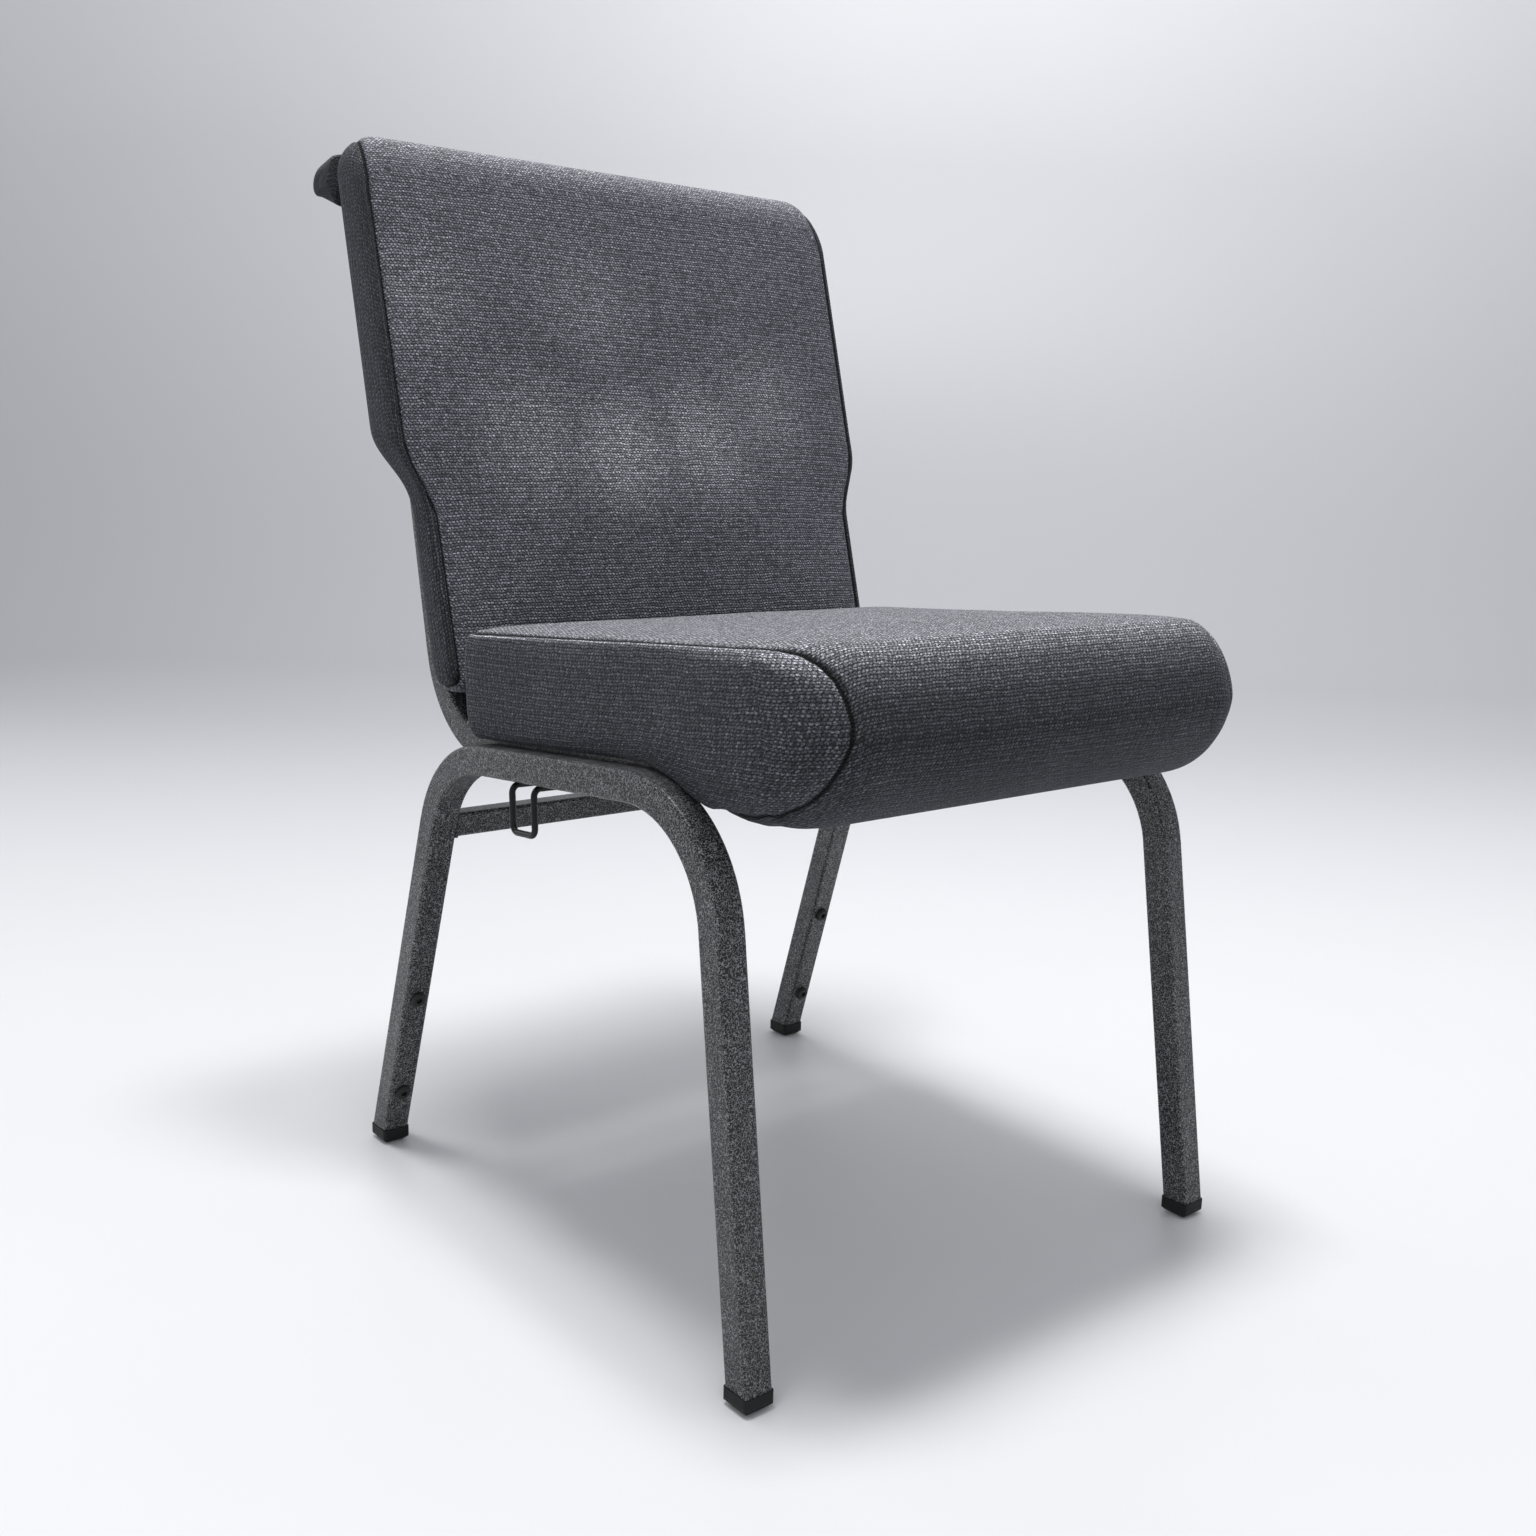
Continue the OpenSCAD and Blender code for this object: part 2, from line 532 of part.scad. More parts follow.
// Back
back_edge_r = 10;
back_rear_r = 24;
back_corner_r = 3 * back_edge_r;
back_hem = 0.1 * back_low_w / 2;
function above(b) = b + back_start;
function step_at(b) = smooth((above(b) - step_foot) / (step_top - step_foot));
// The sleeve over the uprights starts and is at its full depth at these heights
sleeve_foot = lerp(step_foot, step_top, 0.25);
sleeve_top = lerp(step_foot, step_top, 1.1);
function sleeve_at(b) = smooth((above(b) - sleeve_foot) / (sleeve_top - sleeve_foot));
// Below this height the uprights bend forward under the cushion, by bend_rise
straight_from = (upright_path[1] - upright_base) * back_dir + setback(upright_bend, rail_dir, back_dir);
bend_in = upright_bend - tube / 2;
function bend_rise(s) = bend_in - sqrt(pow(bend_in, 2) - pow(max(0, straight_from - s), 2));
back_len = back_end - back_start;
hem_clear = side_x(1, rail_h) + cover_t;
back = [back_len, back_edge_r + cover_t, back_corner_r,
    [0.025, 0.06, 0.2, 0.29, 0.33, 0.365, 0.397, 0.429, 0.461, 0.495, 0.6, 0.8],
    function (b) lerp(back_low_w, back_w, step_at(b)) / 2,
    function (b) bend_rise(above(b)) - back_depth * sleeve_at(b),
    function (b) lerp(back_t_low, back_t_top, b / back_len),
    back_edge_r, top_round, back_edge_r + cover_t, 2, back_crown,
    function (b) lerp(back_low_w / 2 - back_hem, hem_clear, smooth((above(b) - step_foot) / (sleeve_foot - step_foot))),
    back_edge_r, back_len - 2 * back_edge_r - cover_t, [1],
    function (b) lerp(back_edge_r, back_rear_r, step_at(b)), 2];
back_board_top = cover_t + back_board_t;
module lay_back() { place() back_frame() translate([0, back_start, 0]) children(); }
module back_cover() { color([0.3, 0.31, 0.34]) lay_back() cushion_cover(back); }
module back_foam() {
    color([0.85, 0.8, 0.6]) lay_back() difference() {
        filling(back);
        translate([-back_w, -back_len, back_board_top + soft_gap - back_w]) cube([2 * back_w, 3 * back_len, back_w]);
    }
}
board_from = straight_from + 5 * board_edge;
module back_board() {
    color([0.72, 0.58, 0.4]) place() back_frame() difference() {
        translate([0, 0, cover_t]) linear_extrude(back_board_t) intersection() {
            translate([0, back_start]) polygon(plan(pinch(ring(back, 0, -1), board_edge)));
            translate([-back_w, board_from]) square([2 * back_w, back_len]);
        }
        at_back_screws(back_bars) {
            translate([0, 0, -over]) cylinder(d = nut_d, h = back_board_top + 2 * over);
            translate([0, 0, back_board_top - nut_flange_t]) cylinder(d = nut_flange_d, h = nut_flange_t + over);
        }
    }
}
module back_edge_foam(side) {
    ends = [sleeve_top, upright_len - back_edge_r];
    wide = back_w / 2 - cover_t - 2 * soft_gap - 0.3 * back_edge_r;
    function slim(s) = side_x(1, rail_h + s * back_dir.y) + soft_gap;
    color([0.85, 0.8, 0.6]) place() back_frame() translate([0, 0, -0.6 * tube]) linear_extrude(0.55 * tube)
        polygon([[side * slim(ends[0]), ends[0]], [side * wide, ends[0]], [side * wide, ends[1]],
            [side * slim(ends[1]), ends[1]]]);
}
module back_rear_panel() {
    top = back_end - 2 * back_edge_r - 2 * cover_t - soft_gap;
    foot = back_start + cover_t;
    low = upright_x;
    high = hem_clear - soft_gap;
    corner_cut = 0.8 * back_corner_r;
    half = [[low, foot], [low, step_foot], [high, step_top], [high, top - corner_cut], [high - corner_cut, top]];
    color([0.28, 0.29, 0.32]) place() back_frame() translate([0, 0, -back_depth]) linear_extrude(rear_panel_t)
        polygon(concat(half, [for (i = [len(half) - 1 : -1 : 0]) [-half[i].x, half[i].y]]));
}
// Section of the rolled top in the back frame, as [height along the lean, depth]
roll_steps = 10;
roll_root = -(back_depth + soft_gap);
roll_foot_share = 0.105;
roll_foot = back_end - roll_foot_share * back_end;
function roll_section(t) = let (r = tip_r - t) concat(
    [[roll_foot + t, roll_root - t], [roll_top - t, roll_root - t]],
    [for (i = [0 : roll_steps]) let (a = -170 * i / roll_steps) roll_tip_at + r * [cos(a), sin(a)]]);
module back_top_roll() {
    end_r = back_edge_r / 2;
    reach = back_w / 2 - cover_t;
    stations = [for (a = [90, 45, 0]) [reach - end_r * (1 - sin(a)), end_r * (1 - cos(a))]];
    ends = concat([for (s = stations) [-s.x, s.y]], [for (s = backward(stations)) s]);
    rings = [for (e = ends) [for (p = roll_section(e.y)) [e.x, p.x, p.y]]];
    mid = (roll_section(0)[0] + roll_section(0)[1] + 2 * roll_tip_at) / 4;
    color([0.3, 0.31, 0.34]) place() back_frame() intersection() {
        ring_solid(rings, [-reach, mid.x, mid.y], [reach, mid.x, mid.y]);
        translate([0, back_start, -back_w]) linear_extrude(back_w) polygon(outline(back, cover_t));
    }
}
module back_screws() {
    color([0.5, 0.5, 0.52]) place() back_frame() at_back_screws(back_bars)
        pan_screw(-bar, back_board_top - nut_flange_t / 2);
}
module back_tee_nuts() {
    color([0.6, 0.6, 0.62]) place() back_frame() at_back_screws(back_bars) tee_nut(back_board_top, back_board_t - fit);
}

leg_loop(-1);  // right_leg_loop
leg_loop(1);  // left_leg_loop
back_upright(-1);  // right_back_upright
back_upright(1);  // left_back_upright
front_seat_crossbar();
rear_leg_crossbar();
back_crossbar(back_bars[0]);  // lower_back_crossbar
back_crossbar(back_bars[1]);  // upper_back_crossbar
ganging_loop();
ganging_hook();
foot_cap(-1, front_foot, front_dir);  // front_right_foot_cap
foot_cap(1, front_foot, front_dir);  // front_left_foot_cap
foot_cap(-1, rear_foot, rear_dir);  // rear_right_foot_cap
foot_cap(1, rear_foot, rear_dir);  // rear_left_foot_cap
stacking_bumpers(-1);  // right_stacking_bumpers
stacking_bumpers(1);  // left_stacking_bumpers
upright_end_plugs();
seat_board();
seat_foam();
seat_cover();
seat_dust_cloth();
seat_screws();
seat_tee_nuts();
back_board();
back_foam();
back_cover();
back_edge_foam(-1);  // back_right_edge_foam
back_edge_foam(1);  // back_left_edge_foam
back_rear_panel();
back_top_roll();
back_screws();
back_tee_nuts();
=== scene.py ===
# Stacking church chair with a bent square-tube frame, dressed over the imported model.
# The chair faces -Y and the floor is z = 0. Right is the sitter's right, at -X.
# Lengths are in millimetres up to where a shape meets its mesh, and in metres from there on.
import bpy
import numpy as np
from mathutils import Matrix, Vector


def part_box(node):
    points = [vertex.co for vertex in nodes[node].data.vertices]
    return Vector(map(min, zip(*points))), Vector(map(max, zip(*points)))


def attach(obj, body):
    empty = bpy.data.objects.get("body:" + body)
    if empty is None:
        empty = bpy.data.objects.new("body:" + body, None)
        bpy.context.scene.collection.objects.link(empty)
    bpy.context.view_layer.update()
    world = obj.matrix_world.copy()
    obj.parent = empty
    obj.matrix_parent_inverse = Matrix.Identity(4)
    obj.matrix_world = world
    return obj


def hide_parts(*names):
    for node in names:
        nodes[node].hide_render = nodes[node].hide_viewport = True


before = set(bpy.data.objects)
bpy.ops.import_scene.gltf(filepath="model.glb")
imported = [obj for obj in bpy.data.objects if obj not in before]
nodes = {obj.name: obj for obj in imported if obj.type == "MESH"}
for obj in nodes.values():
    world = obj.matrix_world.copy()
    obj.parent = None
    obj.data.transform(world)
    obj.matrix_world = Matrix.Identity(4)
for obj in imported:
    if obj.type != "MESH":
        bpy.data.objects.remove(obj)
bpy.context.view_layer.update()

# Taken over from the chair's own construction
MM = 0.001
FRONT_BAR_DEPTH = 105  # from the front of the feet to the middle of the bar under the seat's nose
bar_low, bar_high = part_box("front_seat_crossbar")
CENTRE_Y = FRONT_BAR_DEPTH - (bar_low.y + bar_high.y) / 2 / MM
SEAT_SLOPE = np.radians(4.4)
SEAT_ORIGIN = (381.99, 371.32)  # depth and height of the seat's rear lower edge
BACK_LEAN = np.radians(13.8)
BACK_ORIGIN = (429.0, 377.0)  # depth and height of the uprights' front faces at rail height
BACK_START = 20  # from there up the lean to the back's lower edge
TUBE = 22.2
BAR = 19
LOOP_LEAN = np.radians(0.8)
FOOT_REACH = 234  # from the middle to a leg's outer face at the floor
REAR_DEPTH = 27.35  # from the uprights' front faces to the rear of the side panels
REAR_FACE = -22.35  # where the rear panel starts, forward of the same faces


def lerp(a, b, share):
    return a + (b - a) * share


def smooth(share):
    """Eases from 0 to 1: three times the square less twice the cube."""
    s = np.clip(share, 0, 1)
    return s * s * (3 - 2 * s)


def bump(distance, width):
    """A bell that is 1 where the distance is 0: e to the minus square of distance over width."""
    return np.exp(-(distance / width) ** 2)


def mound(x, y, width):
    return bump(np.hypot(x, y), width)


def to_frame(x, y, z):
    """Chair millimetres, depth counted from the front feet, to the frame's metres."""
    x, y, z = np.broadcast_arrays(x, y, z)
    return np.stack([x, y - CENTRE_Y, z], -1) * MM


def from_seat(x, b, w):
    """Across, forward from the seat's rear edge and up from its underside, turned by the seat's slope."""
    c, s = np.cos(SEAT_SLOPE), np.sin(SEAT_SLOPE)
    return to_frame(x, SEAT_ORIGIN[0] - b * c + w * s, SEAT_ORIGIN[1] + b * s + w * c)


def from_back(x, s, f):
    """Across, up the back's lean from rail height and forward of the uprights, turned by the lean."""
    c, n = np.cos(BACK_LEAN), np.sin(BACK_LEAN)
    return to_frame(x, BACK_ORIGIN[0] + s * n - f * c, BACK_ORIGIN[1] + s * c + f * n)


# Meshes
def grid_faces(rows, columns, wrap_rows=False, wrap_columns=True):
    """Corner numbers of the squares of a grid whose points are numbered row after row."""
    r = np.arange(rows if wrap_rows else rows - 1)[:, None]
    c = np.arange(columns if wrap_columns else columns - 1)[None, :]
    r1, c1 = (r + 1) % rows, (c + 1) % columns
    corners = [r * columns + c, r * columns + c1, r1 * columns + c1, r1 * columns + c]
    return np.stack(corners, -1).reshape(-1, 4)


def fan_faces(ring, tip):
    """Triangles between a closed ring of point numbers and one tip."""
    return np.stack([ring, np.roll(ring, -1), np.full_like(ring, tip)], -1)


def points_inwards(points, quads, fans):
    """Whether the faces' order turns them inwards: the summed volume under them is negative."""
    middle = points.mean(0)
    tris = np.concatenate([quads[:, [0, 1, 2]], quads[:, [0, 2, 3]]] + fans)
    a, b, c = (points[tris[:, i]] - middle for i in range(3))
    return np.einsum("ij,ij->i", a, np.cross(b, c)).sum() < 0


def new_object(name, data):
    made = bpy.data.objects.new(name, data)
    bpy.context.scene.collection.objects.link(made)
    return made


def smooth_mesh(name, points, faces):
    mesh = bpy.data.meshes.new(name)
    mesh.from_pydata(points.tolist(), [], faces)
    mesh.polygons.foreach_set("use_smooth", np.ones(len(mesh.polygons), bool))
    return mesh


def make_piece(name, points, quads, fans=(), uv=None, marks=None):
    """A smooth mesh object from points in metres, four-cornered faces and fans of triangles. uv names maps
    with a pair for each corner of the faces in their order, and marks are named values per point."""
    flip = points_inwards(points, quads, list(fans))
    faces = [f[:, ::-1] if flip else f for f in [quads, *fans]]
    mesh = smooth_mesh(name, points, [face for f in faces for face in f.tolist()])
    for label, parts in (uv or {}).items():
        parts = [part[:, ::-1] if flip else part for part in parts]
        layer = mesh.uv_layers.new(name=label)
        layer.data.foreach_set("uv", np.concatenate([part.reshape(-1, 2) for part in parts]).ravel())
    for label, values in (marks or {}).items():
        mark = mesh.attributes.new(label, "FLOAT", "POINT")
        mark.data.foreach_set("value", np.asarray(values, np.float32).ravel())
    mesh.validate()
    mesh.update()
    return new_object(name, mesh)


def domed(grid):
    """Points, squares and triangles of a grid of closed rows, its last row closed by a tip in the middle."""
    rows, n = grid.shape[:2]
    points = np.concatenate([grid.reshape(-1, 3), grid[-1].mean(0)[None]])
    return points, grid_faces(rows, n), fan_faces((rows - 1) * n + np.arange(n), rows * n)


def closed_piece(name, grid, tips, flat, flat_tips):
    """A cloth piece from a grid of closed rows with a tip at each end, and their places on flat cloth."""
    rows, n = grid.shape[:2]
    points = np.concatenate([grid.reshape(-1, 3), tips])
    quads = grid_faces(rows, n)
    fans = [fan_faces(np.arange(n), len(points) - 2)[:, ::-1],
            fan_faces((rows - 1) * n + np.arange(n), len(points) - 1)]
    flat = np.concatenate([flat.reshape(-1, 2), flat_tips])
    uv = {"cloth": [flat[faces] * MM for faces in [quads, *fans]]}
    return make_piece(name, points, quads, fans, uv, {"seam": np.full(len(points), NO_SEAM)})


def thicken(piece, thickness):
    """Gives an open skin a wall that grows inwards."""
    wall = piece.modifiers.new("wall", "SOLIDIFY")
    wall.thickness = thickness * MM
    wall.offset = -1
    wall.use_even_offset = False
    return piece


def fall(radius, reach):
    """How far a circle has fallen, reach away from its top."""
    return radius - np.sqrt(np.maximum(0, radius ** 2 - reach ** 2))


# Cushion covers. A cover's form, c, gives at b along it half the width, the heights of the underside (low),
# the wall's foot and the top (high), half the hem's width, and how far the foot hangs and the free edge turns
# in. edge and nose are the reach of the wall's roundings across and lengthways, each with a curve's power
HEM_RISE = 0.3  # the first share of a hem's way in, over which it rises to the underside
COVER_WALL = 1.3
SIDE_MAP_DROP = 300  # keeps the side panels' cloth apart from the main panel's
NO_SEAM = -100.0  # the mark of points far from every seam


def round_in(k, power):
    """How far a rounded edge has drawn in at height share k: 1 less the root of 1 less k to a power."""
    return 1 - (1 - np.minimum(1, np.abs(k)) ** power) ** (1 / power)


def outline_at(c, u):
    """The half outline at running number u: to 1 half the near edge, to 2 a quarter turn, to 3 the side, to 4
    a quarter turn and to 5 half the far edge."""
    rn, rf, length = c["near_r"], c["far_r"], c["length"]
    x0, x1 = c["half"](0), c["half"](length)
    a, d = (np.clip(u - start, 0, 1) * np.pi / 2 for start in (1, 3))
    b = lerp(rn, length - rf, np.clip(u - 2, 0, 1))
    parts = [u < 1, u < 2, u < 3, u < 4]
    x = np.select(parts, [u * (x0 - rn), x0 - rn + rn * np.sin(a), c["half"](b), x1 - rf + rf * np.cos(d)],
                  (5 - u) * (x1 - rf))
    y = np.select(parts, [0 * u, rn - rn * np.cos(a), b, length - rf + rf * np.sin(d)], length)
    return x, y


def running(counts, extra=()):
    """Running numbers in even steps, so many for each of the five parts, and extra ones."""
    parts = [start + np.arange(count) / count for start, count in enumerate(counts)]
    return np.unique(np.round(np.concatenate(parts + [np.array(extra, float), [5.0]]), 6))


def whole_outline(x, y):
    """The half outline and its mirror image, as one closed ring."""
    return np.concatenate([x, -x[-2:0:-1]]), np.concatenate([y, y[-2:0:-1]])


def ring(c, x, y, k):
    """The outline at height share k, from -1 at the wall's foot to 1 at its top: across it draws in by the
    edge rounding and lengthways by the nose rounding, and its height lies between the faces. At the nose the
    rounding stops a little sooner, where it is as steep as the crown that carries on from it."""
    up = k > 0
    k = np.where(up, k * (1 - c["stop"] * smooth((y - c["length"] + c["far_r"]) / c["far_r"])), k)
    edge = np.where(up, c["edge"], c["edge_low"](y))
    sx = edge * np.where(up, round_in(k, c["side_power"]), round_in(k, c["low_power"]))
    sf = np.where(up, c["nose_up"], c["nose_low"]) * round_in(k, c["nose_power"])
    px = x * (1 - sx / c["half"](y))
    py = sx + y * (1 - (sx + sf) / c["length"])
    low, high = c["foot"](py), c["high"](py)
    return px, py, (low + high) / 2 + k * (high - low) / 2


def hem_ring(c, x, y, share):
    """A ring under the cushion, share of the way from the wall's foot to the cover's free edge. Where the
    foot hangs below the underside, the ring first rises to it and then goes in. The free edge itself turns in
    to the board where the cover leaves its rear face."""
    px, py, _ = ring(c, x, y, np.full_like(y, -1.0))
    near, far = c["edge_low"](0), c["length"] - c["nose_low"]
    end = lerp(near + c["hem_w"], c["hem_end"], (py - near) / (far - near))
    b = lerp(py, end, share)
    inward = lerp(share, smooth((share - HEM_RISE) / (1 - HEM_RISE)), c["hang"](py))
    qx = px * lerp(1, c["hem"](end) / (c["half"](py) - c["edge_low"](py)), inward)
    turned = c["turn_in"](b) * np.equal(share, 1)
    return qx, b, lerp(c["foot"](b), c["low"](b), smooth(share / HEM_RISE)) * (1 - turned)


def crown_ring(c, x, y, share):
    """A ring on the crowned top, share from 1 at its edge to 0 in the middle: its height rises by the crown
    times 1 less the share's square."""
    px, py, w = ring(c, x, y, np.full_like(y, 1.0))
    b = lerp(c["length"] / 2, py, share)
    return px * share, b, w + c["high"](b) - c["high"](py) + c["crown"] * (1 - share ** 2)


def wall_shares(count):
    """Height shares that crowd at both ends, as the sine of even angles, with more at the very edges."""
    even = np.sin(np.linspace(-np.pi / 2, np.pi / 2, count))
    edge = 1 - np.array([3e-3, 8e-4, 1.5e-4, 1e-5])
    return np.unique(np.concatenate([even, edge, -edge]))


def crown_shares(reach, fine, coarse):
    """Shares from just inside the top's edge to near its middle, in steps that grow from fine to coarse."""
    steps = fine * (coarse / fine) ** np.linspace(0, 1, int(2.1 * reach / (fine + coarse)))
    path = np.cumsum(steps)
    return 1 - path[path < reach * 0.975] / reach


def outward_normals(grid):
    """Unit normals of a grid of closed rows, from the cross product of its row and column steps."""
    across = np.roll(grid, -1, 1) - np.roll(grid, 1, 1)
    along = np.gradient(grid, axis=0)
    normal = np.cross(across, along)
    normal = normal / np.maximum(np.linalg.norm(normal, axis=-1, keepdims=True), 1e-9)
    inwards = (normal * (grid - grid.reshape(-1, 3).mean(0))).sum() < 0
    return -normal if inwards else normal


def distance_to(points, line):
    """Least distance from each point to the straight pieces of a line, worked out in blocks."""
    a, d = line[:-1], line[1:] - line[:-1]
    dd = np.maximum((d * d).sum(-1), 1e-12)
    flat = points.reshape(-1, 3)
    blocks = []
    for block in np.array_split(flat, max(1, len(flat) // 3000)):
        away = block[:, None, :] - a[None]
        t = np.clip((away * d).sum(-1) / dd, 0, 1)
        blocks.append(np.sqrt(((away - t[..., None] * d) ** 2).sum(-1).min(1)))
    return np.concatenate(blocks).reshape(points.shape[:-1])


def inside(u, q, loop):
    """Whether points in the plane of running number and row number lie in a closed loop, by crossings."""
    found = np.zeros(np.broadcast(u, q).shape, bool)
    for (u0, q0), (u1, q1) in zip(loop, np.roll(loop, -1, 0)):
        if q0 != q1:
            found ^= ((q0 > q) != (q1 > q)) & (u < (u1 - u0) * (q - q0) / (q1 - q0) + u0)
    return found


def seam_line(c, seam):
    """The seam as a fine line on the surface, from its running numbers and row numbers."""
    fine = np.linspace(0, len(seam) - 1, 16 * len(seam))
    u, row = (np.interp(fine, np.arange(len(seam)), seam[:, i]) for i in (0, 1))
    x, y = outline_at(c, u)
    on_wall = np.stack(ring(c, x, y, np.clip(row, -1, 1)), -1)
    below = np.stack(hem_ring(c, x, y, np.clip(-1 - row, 0, 1)), -1)
    return np.where((row < -1)[:, None], below, on_wall)


def within_seam(seam, number, rows):
    """Which points lie in the side panel: the seam is closed below the hem and just before its start."""
    before, under = seam[0, 0] - 0.01, -2.2
    closed = np.concatenate([seam, [[seam[-1, 0], under], [before, under], [before, seam[0, 1]]]])
    return inside(number, rows, closed)


def cloth_maps(grid, rim, y, length):
    """Two flat maps of a cover: the main panel's, where the walls fold out from the top's edge to the front
    and the rear, and the side panels', round the outline and down the wall."""
    step = np.linalg.norm(np.diff(grid[rim], axis=0, append=grid[rim][:1]), axis=-1)
    around = np.concatenate([[0], np.cumsum(step)])
    around = np.where(around > around[-1] / 2 + 1e-6, around - around[-1], around)[:-1]
    drops = np.linalg.norm(np.diff(grid[:rim + 1][::-1], axis=0), axis=-1)
    down = np.concatenate([np.cumsum(drops, 0)[::-1], np.zeros((len(grid) - rim, len(y)))])
    front = np.where(y > length / 2, 1, -1)
    level = np.where(np.arange(len(grid))[:, None] < rim, grid[rim, :, 1], grid[..., 1])
    main = np.stack([grid[..., 0], level + front * down], -1)
    side = np.stack([np.broadcast_to(around, down.shape), -down - SIDE_MAP_DROP], -1)
    return main.reshape(-1, 2), side.reshape(-1, 2)


def even_rim(grid, rim, share):
    """Evens out the crease where the nose meets the top, by share, over the rows beside the rim."""
    first, last = rim - 14, rim + 12
    for _ in range(8):
        beside = (grid[first - 1:last - 1] + grid[first + 1:last + 1]) / 2
        grid[first:last] += 0.5 * share * (beside - grid[first:last])


def seam_relief(gap, foam, foam_reach, pull, pull_reach, lip):
    """How far a cover stands out at a gap from its seam: the foam further off, less the thread's pull, and a
    small lip of cloth beside it."""
    return foam * (1 - bump(gap, foam_reach)) - pull * bump(gap, pull_reach) + lip * bump(gap - 4.2, 1.8)


def cushion(name, c, u, walls, crowns, hems, seam, place, ease):
    """A cover on a grid. Columns go round the plan outline, and rows from the hem up the side wall and over
    the crowned top to one point in the middle. ease moves it along its normals. seam bounds the side panel on
    the +X half, in running numbers and row numbers: -2 at the hem's edge, -1 to 1 up the wall."""
    x, y = whole_outline(*outline_at(c, u))
    n = len(x)
    rings = [hem_ring(c, x, y, share) for share in hems]
    rings += [ring(c, x, y, np.full_like(y, k)) for k in walls]
    rings += [crown_ring(c, x, y, share) for share in crowns]
    grid = np.stack([np.stack(each, -1) for each in rings])
    rim = len(hems) + len(walls) - 1
    rows = np.concatenate([-1 - hems, walls, 2 - crowns])[:, None]
    number = np.concatenate([u, u[-2:0:-1]])[None, :]
    gap = distance_to(np.abs(grid) * [1, 0, 0] + grid * [0, 1, 1], seam_line(c, seam))
    on_side = within_seam(seam, number, rows)
    main, side = cloth_maps(grid, rim, y, c["length"])
    even_rim(grid, rim, smooth((y - c["length"] + c["far_r"]) / c["far_r"])[:, None])
    grid = grid + outward_normals(grid) * ease(grid, gap, on_side)[..., None]
    points, quads, fan = domed(grid)
    side_uv = side[quads]
    last = quads[:, 0] % n == n - 1
    side_uv[last, 1, 0] = side_uv[last, 2, 0] = 0
    fan_uv = np.concatenate([main, [[0, c["length"] / 2]]])[fan]
    uv = {"cloth": [main[quads] * MM, fan_uv * MM], "side": [side_uv * MM, fan_uv * MM]}
    signed = np.append(np.where(on_side, gap, -gap).ravel(), NO_SEAM)
    placed = place(points[:, 0], points[:, 1], points[:, 2])
    return thicken(make_piece(name, placed, quads, [fan], uv, {"seam": signed}), COVER_WALL)


# Seat cover: the main panel runs over the top and down the nose. The side panels with their rounded fronts
# run round the sides and the rear, and their lower edges hang in front of the leg bends
SEAT_LENGTH = 410
SEAT_REAR_WIDTH = 442
SEAT_FRONT_WIDTH = 422
SEAT_NEAR_R = 20
SEAT_FAR_R = 50
SEAT_EDGE = 12
SEAT_HEM = 6.63
NOSE_START = 310.25
BEND_START = 231
BEND_OUTER = 101.1


def seat_half(b):
    return lerp(SEAT_REAR_WIDTH, SEAT_FRONT_WIDTH, b / SEAT_LENGTH) / 2


def seat_low(b):
    return -33 * smooth((b - NOSE_START) / (360 - NOSE_START))


def seat_hang(b):
    """How far the side panel's foot hangs: it follows the top of the leg's bend up to a limit."""
    drop = fall(BEND_OUTER, np.clip(b - BEND_START, 0, 95))
    follow = np.maximum(2.8 * smooth((b - 225) / 30) + drop, 0.001)
    limit = 24.5 + 6 * smooth((b - 300) / 45) - 14 * smooth((b - 340) / 25)
    return (follow ** -6.0 + limit ** -6.0) ** (-1 / 6)


seat = {
    "length": SEAT_LENGTH, "near_r": SEAT_NEAR_R, "far_r": SEAT_FAR_R, "half": seat_half,
    "low": seat_low, "foot": lambda b: -(np.abs(seat_low(b)) ** 6 + seat_hang(b) ** 6) ** (1 / 6),
    "hang": lambda b: smooth((b - 235) / 25) * smooth((345 - b) / 20),
    "turn_in": lambda b: 0 * b,
    "high": lambda b: 80 - 3 * b / SEAT_LENGTH,
    "edge": SEAT_EDGE,
    "edge_low": lambda b: SEAT_EDGE - 5.8 * smooth((b - 215) / 30) * smooth((352 - b) / 22),
    "side_power": 4, "low_power": 4,
    "nose_up": 34, "nose_low": 50, "nose_power": 1.6, "crown": 9, "stop": 0.0007,
    "hem": lambda b: seat_half(b) - SEAT_EDGE - SEAT_HEM, "hem_w": SEAT_HEM, "hem_end": NOSE_START,
}
seat_numbers = running((38, 8, 78, 44, 36), np.linspace(3.05, 3.8, 60))


def on_seat_side(b):
    """The running number at a depth along the side."""
    return 2 + (b - SEAT_NEAR_R) / (SEAT_LENGTH - SEAT_FAR_R - SEAT_NEAR_R)


seat_seam = np.array([
    [0, 0.978], [1, 0.978], [2, 0.978],
    [on_seat_side(150), 0.985], [on_seat_side(250), 0.992], [on_seat_side(320), 0.993],
    [3.0, 0.993], [3.2, 0.992], [3.33, 0.985], [3.49, 0.945], [3.6, 0.83], [3.67, 0.66], [3.7, 0.45],
    [3.71, 0.2], [3.68, -0.02], [3.64, -0.2], [3.58, -0.46], [3.5, -0.66], [3.34, -0.81], [3.15, -0.9],
    [3.0, -0.95], [on_seat_side(346), -0.99], [on_seat_side(338), -1.1], [on_seat_side(326), -1.6],
    [on_seat_side(322), -2.0]])


